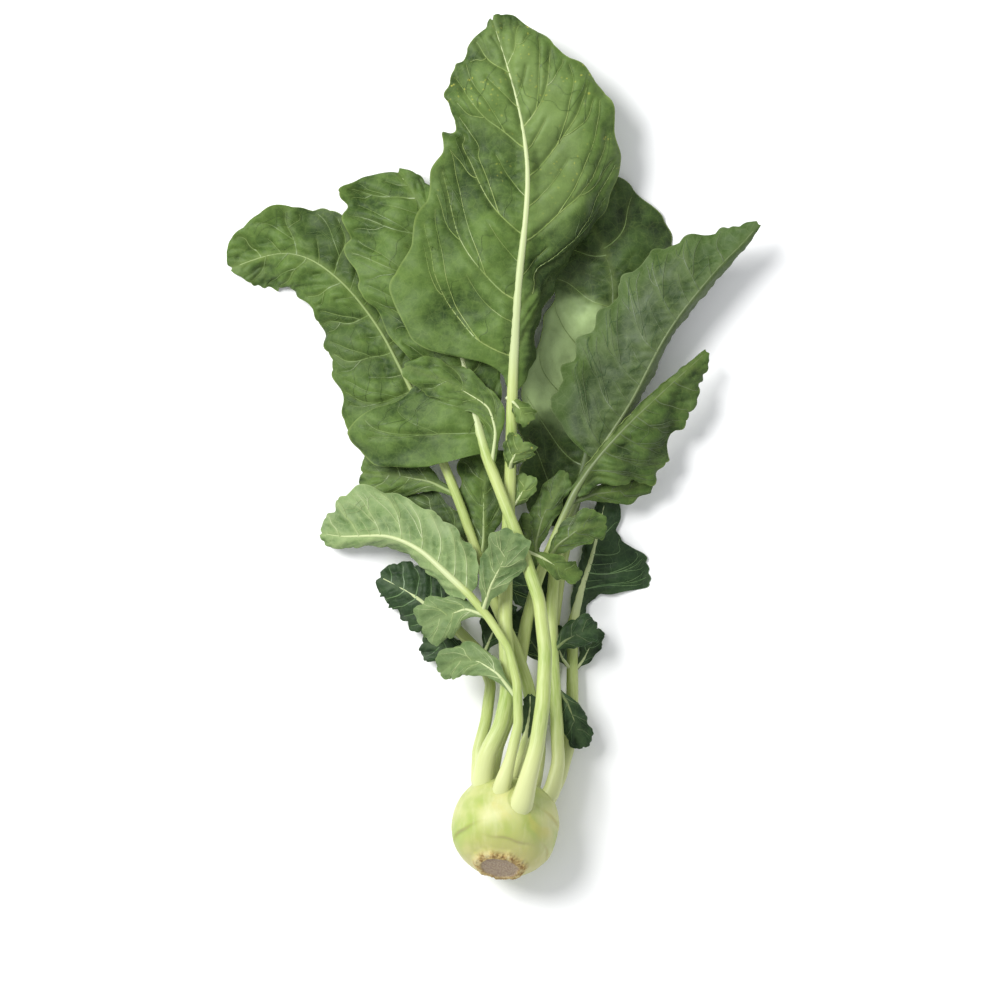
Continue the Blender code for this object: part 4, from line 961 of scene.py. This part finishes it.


# The small leaf low at the left, in the same dark green with painted shade
leafLowLeft = dict(
    seed=34, fine=(116, 56), quilt=0.9, crumple=(14, 1.0), nicks=(1.3, 11),
    veinsLeft=[0.05, 0.2, 0.36, 0.52, 0.68, 0.84], veinsRight=[0.06, 0.22, 0.38, 0.54, 0.7, 0.86],
    ruffle=(1.2, 3.5), teeth=(0.07, 6),
    stalk=[(-8, 12, 20, 5.5), (-15, 25, 13.5, 4.2), (-15, 42, 11, 3.6), (-10.5, 60, 10.5, 3.3),
           (-8, 80, 12, 3.1), (-15, 99, 14, 3)],
    midrib=[(-29, 113, 14.5), (-42, 123, 13), (-53, 131, 11), (-64, 137, 8), (-70, 140, 6)],
    left=[(0, 3, 0), (0.12, 14, -2), (0.3, 16, -4), (0.5, 15, -5), (0.75, 12, -4), (0.9, 8, -2), (1, 3, 0)],
    right=[(0, 3, 0), (0.15, 12, -1), (0.5, 20, -3), (0.75, 14, -3), (0.9, 9, -2), (1, 3, 0)],
    lean=[(0, -5), (0.5, 10), (1, 35)],
    leaflets=[dict(midrib=[(-13, 95, 13.4), (-23, 97, 11.5), (-34, 100, 9.5), (-46, 103, 7.5)],
                   halfWidth=11, drop=-1.5),
              dict(midrib=[(-13, 95, 13.5), (-9, 104, 15), (-5, 114, 15), (-1, 126, 14)],
                   halfWidth=11, drop=-1)],
)
growLeaf("leaf_low_left", leafLowLeft,
         [darkShadedGreen, paleUnderside, paleStalk, darkShadedGreen, dullVein, darkVein])


# The small crinkled young leaf at the crown
heartLeaf = dict(
    seed=38, fine=(80, 40), quilt=0.5, crumple=(7, 0.7), nicks=(0.7, 8), veinsLeft=[0.15, 0.35, 0.55, 0.75],
    veinsRight=[0.2, 0.4, 0.6, 0.8], ruffle=(0.8, 3), teeth=(0.12, 5),
    stalk=[(2, 18, 26, 3.2), (5, 30, 31, 2.4), (9, 42, 35, 2)],
    midrib=[(11, 50, 37.5), (13, 60, 40), (14, 68, 41.5), (14, 75, 42)],
    left=[(0, 1.5, 0), (0.3, 4, 1), (0.6, 5, 1), (0.85, 4, 0), (1, 1, 0)],
    right=[(0, 1.5, 0), (0.3, 5, 1), (0.6, 6, 0), (0.85, 4, -1), (1, 1, 0)],
    lean=[(0, 10), (1, 40)],
)
growLeaf("heart_leaf", heartLeaf,
         [darkShadedGreen, paleUnderside, paleStalk, darkShadedGreen, dullVein, darkVein])


# The swollen stem

def bulbAxes():
    # The bulb's own axes: to the right, up across the axis, and along it from the root to the crown
    turn, tilt = np.radians(bulb["turn"]), np.radians(bulb["tilt"])
    level = np.array([-np.sin(turn), np.cos(turn)])
    along = np.array([level[0] * np.cos(tilt), level[1] * np.cos(tilt), -np.sin(tilt)])
    right = np.array([level[1], -level[0], 0.0])
    return right, np.cross(right, along), along


def growBulb(material):
    # A globe with square shoulders, a swelling under each stalk, a low ledge at each old scar and a corky
    # root end. The marks are how near a point is to a scar and to a stalk's foot, from 0 to 1
    right, upward, along = bulbAxes()
    centre = np.array(bulb["centre"])
    polar, around = np.meshgrid(np.linspace(0, np.pi, bulb["rings"])[1:-1],
                                np.linspace(0, 2 * np.pi, bulb["segments"], endpoint=False), indexing="ij")
    polar = np.concatenate([[0.0], polar.ravel(), [np.pi]])
    around = np.concatenate([[0.0], around.ravel(), [0.0]])
    outward = [np.sin(polar) * np.cos(around), np.sin(polar) * np.sin(around), -np.cos(polar)]
    outward = np.stack(outward, axis=1)
    flat = np.hypot(outward[:, 0], outward[:, 1])
    power = bulb["squareness"]
    radius = (flat / bulb["radius"]) ** power + np.abs(outward[:, 2] / bulb["halfLength"]) ** power
    radius = radius ** (-1 / power)
    seam = np.zeros(len(outward))
    for base in bulb["bases"]:
        towards = np.array(base[1][:3]) - centre
        towards = np.array([towards @ right, towards @ upward, towards @ along])
        near = outward @ (towards / np.linalg.norm(towards))
        radius += bulb["swelling"] * base[1][3] / 5 * np.exp((near - 1) / bulb["swellingWidth"])
    scar = np.zeros(len(outward))
    for turn, height, half, ledge in bulb["scars"]:
        angle = around - turn
        angle = np.arctan2(np.sin(angle), np.cos(angle))
        over = outward[:, 2] - height - 0.1 * angle**2 - 0.012 * np.sin(9 * angle)
        ends = np.exp(-((angle / half) ** 2))
        step = np.tanh(over / bulb["ledgeStep"])
        radius += ledge * ends * np.exp(-((over / bulb["ledgeWidth"]) ** 2)) * step
        scar = np.maximum(scar, ends * np.exp(-((over / bulb["scarWidth"]) ** 2)))
    radius += 0.45 * softWaves(outward * 30, 26, 4) + 0.12 * softWaves(outward * 30, 9, 5)
    points = outward * radius[:, None]
    rim = np.hypot(points[:, 0], points[:, 1])
    # The torn rim wanders in and out round the root
    circle = np.stack([np.cos(around), np.sin(around), 0 * around], axis=1) * 14
    wander = softWaves(circle, 9, 8) + 0.3 * softWaves(circle, 3.5, 9)
    edge = bulb["rimRadius"] + wander
    root = points[:, 2] < 0
    flakes = softWaves(points, 3.2, 12) + 0.6 * softWaves(points, 1.4, 13)
    stub = bulb["halfLength"] * 0.92 + bulb["stubLength"] * np.clip((edge - rim) / 4, 0, 1)
    stub += (bulb["rimHeight"] + 0.2 * flakes) * np.exp(-(((rim - edge + 1.4) / bulb["rimWidth"]) ** 2))
    cut = smoothStep(bulb["cutRadius"] + 1.2, bulb["cutRadius"] - 0.4, rim - 0.5 * wander)
    cut = np.where(root, cut, 0.0)
    stub += -bulb["cutDepth"] * cut + 0.15 * flakes * (1 - cut) + 0.06 * softWaves(points, 1.2, 14)
    share = np.where(root, smoothStep(0.0, 2.6, edge + 1.6 - rim), 0.0)
    points[:, 2] = points[:, 2] * (1 - share) - stub * share
    cork = np.where(root, smoothStep(-1.4, 1.6, edge - rim), 0.0)
    place = centre + points[:, :1] * right + points[:, 1:2] * upward + points[:, 2:] * along
    place[:, 2] = np.maximum(place[:, 2], 0)
    for base in bulb["bases"]:
        low, high = np.array(base[0]), np.array(base[2])
        share = np.clip((place - low[:3]) @ (high - low)[:3] / ((high - low)[:3] ** 2).sum(), 0, 1)
        nearest = low + share[:, None] * (high - low)
        away = np.linalg.norm(place - nearest[:, :3], axis=1) - nearest[:, 3]
        seam = np.maximum(seam, np.exp(-(((away - 0.4) / bulb["seamWidth"]) ** 2)))
    rows = bulb["rings"] - 2
    quads = gridQuads(rows, bulb["segments"], 1, wrap=True)
    first = np.arange(bulb["segments"]) + 1
    last = first + (rows - 1) * bulb["segments"]
    start = np.stack([np.zeros_like(first), np.roll(first, -1), first], axis=1)
    end = np.stack([np.full_like(last, len(place) - 1), last, np.roll(last, -1)], axis=1)
    marks = np.stack([scar, seam], axis=1)
    piece = newPiece()
    addPart(piece, place, [quads, start, end], [marks[quads], marks[start], marks[end]], 0, cork, cut,
            np.clip((outward[:, 2] + 1) / 2, 0, 1))
    made = makePiece("bulb_grown", piece, [material], 80)
    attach(made, "root")
    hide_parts("bulb")


def bulbMaterial():
    # Waxy pale green skin: whitish streaks, brown lines at the scars, torn cork round the root, a greyish cut
    material, tree, shader = newMaterial("waxySkin", (0.44, 0.46, 0.17, 1), 0.45)
    shader.inputs["Specular IOR Level"].default_value = 0.35
    shader.inputs["Coat Weight"].default_value = 0.05
    shader.inputs["Coat Roughness"].default_value = 0.35
    shader.inputs["Subsurface Weight"].default_value = 0.12
    shader.inputs["Subsurface Radius"].default_value = (0.006, 0.007, 0.002)
    shader.inputs["Subsurface Scale"].default_value = 1.0
    place = addNode(tree, "ShaderNodeTexCoord").outputs["Object"]
    mapped = addNode(tree, "ShaderNodeUVMap", uv_map="surface").outputs[0]
    marks = addNode(tree, "ShaderNodeSeparateXYZ", {0: mapped})
    scar, seam = marks.outputs[0], marks.outputs[1]
    cork = addNode(tree, "ShaderNodeAttribute", attribute_name="gap").outputs["Fac"]
    cut = addNode(tree, "ShaderNodeAttribute", attribute_name="reach").outputs["Fac"]
    crown = addNode(tree, "ShaderNodeAttribute", attribute_name="along").outputs["Fac"]
    stretched = addNode(tree, "ShaderNodeMapping", {"Vector": place, "Scale": (1.0, 0.25, 0.6)}).outputs[0]
    streaks = noise(tree, stretched, 210.0, 4.0, 0.6)
    broad = ramp(tree, noise(tree, place, 38.0, 2.5, 0.5, 0.4), 0.36, 0.66)
    yellow = ramp(tree, noise(tree, place, 55.0, 2.0, 0.5, 0.8), 0.5, 0.72)
    colour = blend(tree, broad, (0.47, 0.48, 0.19, 1), (0.29, 0.37, 0.075, 1))
    colour = blend(tree, calc(tree, "MULTIPLY", yellow, 0.5), colour, (0.51, 0.46, 0.12, 1))
    colour = blend(tree, ramp(tree, streaks, 0.45, 0.75, 0.0, 0.35), colour, (0.58, 0.57, 0.33, 1))
    colour = blend(tree, ramp(tree, crown, 0.62, 0.95, 0.0, 0.7), colour, (0.50, 0.53, 0.26, 1))
    colour = blend(tree, ramp(tree, crown, 0.3, 0.05, 0.0, 0.5), colour, (0.53, 0.45, 0.19, 1))
    colour = blend(tree, calc(tree, "MULTIPLY", scar, 0.5), colour, (0.40, 0.33, 0.13, 1))
    colour = blend(tree, calc(tree, "MULTIPLY", seam, 0.45), colour, (0.16, 0.22, 0.04, 1))
    # The cork: brown flakes over straw, darker right at the cut's edge
    flakes = ramp(tree, noise(tree, place, 420.0, 4.0, 0.7), 0.38, 0.62)
    corkColour = blend(tree, flakes, (0.21, 0.11, 0.03, 1), (0.50, 0.37, 0.15, 1))
    pale = ramp(tree, noise(tree, place, 160.0, 2.0), 0.5, 0.62)
    corkColour = blend(tree, calc(tree, "MULTIPLY", pale, 0.8), corkColour, (0.56, 0.49, 0.25, 1))
    colour = blend(tree, calc(tree, "MULTIPLY", cork, 0.92), colour, corkColour)
    fibres = ramp(tree, noise(tree, place, 900.0, 3.0, 0.6), 0.35, 0.7)
    cutColour = blend(tree, fibres, (0.28, 0.20, 0.14, 1), (0.43, 0.35, 0.24, 1))
    colour = blend(tree, cut, colour, cutColour)
    rough = addNode(tree, "ShaderNodeMapRange", {"Value": cork, "To Min": 0.45, "To Max": 0.85}).outputs[0]
    tree.links.new(rough, shader.inputs["Roughness"])
    grain = noise(tree, place, 700.0, 4.0, 0.7)
    grainHeight = calc(tree, "MULTIPLY_ADD", cork, 1.2, 0.12)
    fine = calc(tree, "MULTIPLY_ADD", grain, grainHeight, calc(tree, "MULTIPLY", streaks, 0.3))
    finishSurface(tree, shader, colour, fine, 0.0004, 0.6)
    return material


growBulb(bulbMaterial())
print("bulb grown")


# Floor, light and camera

studio = dict(
    middle=(-0.0028, 0.1837, 0.03),
    view=0.56,               # metres across the picture at the leaves' height
    lens=200.0,
    sensor=36.0,
    keyPlace=(-1.15, 0.95, 1.75),
    keySize=1.1,
    keyPower=60.0,
    skyStrength=0.7,
)


def addArea(name, place, target, size, power):
    light = bpy.data.lights.new(name, "AREA")
    light.shape = "DISK"
    light.size = size
    light.energy = power
    made = bpy.data.objects.new(name, light)
    made.location = place
    towards = np.array(target) - np.array(place)
    made.rotation_euler = Vector(towards).to_track_quat("-Z", "Y").to_euler()
    bpy.context.scene.collection.objects.link(made)


def setStudio():
    mesh = bpy.data.meshes.new("table")
    mesh.from_pydata([(-4, -4, 0), (4, -4, 0), (4, 4, 0), (-4, 4, 0)], [], [(0, 1, 2, 3)])
    table = bpy.data.objects.new("table", mesh)
    bpy.context.scene.collection.objects.link(table)
    material, tree, shader = newMaterial("whiteTable", (0.93, 0.93, 0.93, 1), 0.9)
    shader.inputs["Specular IOR Level"].default_value = 0.1
    mesh.materials.append(material)
    addArea("key", studio["keyPlace"], studio["middle"], studio["keySize"], studio["keyPower"])
    world = bpy.data.worlds.new("studio")
    world.use_nodes = True
    world.node_tree.nodes["Background"].inputs[0].default_value = (0.96, 0.98, 1.0, 1)
    world.node_tree.nodes["Background"].inputs[1].default_value = studio["skyStrength"]
    bpy.context.scene.world = world
    bpy.context.scene.view_settings.view_transform = "Standard"
    camera = bpy.data.cameras.new("camera")
    camera.lens = studio["lens"]
    camera.sensor_width = studio["sensor"]
    camera.clip_end = 20
    seen = bpy.data.objects.new("camera", camera)
    x, y, z = studio["middle"]
    seen.location = (x, y, z + studio["view"] * studio["lens"] / studio["sensor"])
    bpy.context.scene.collection.objects.link(seen)
    bpy.context.scene.camera = seen


setStudio()
print("studio set")
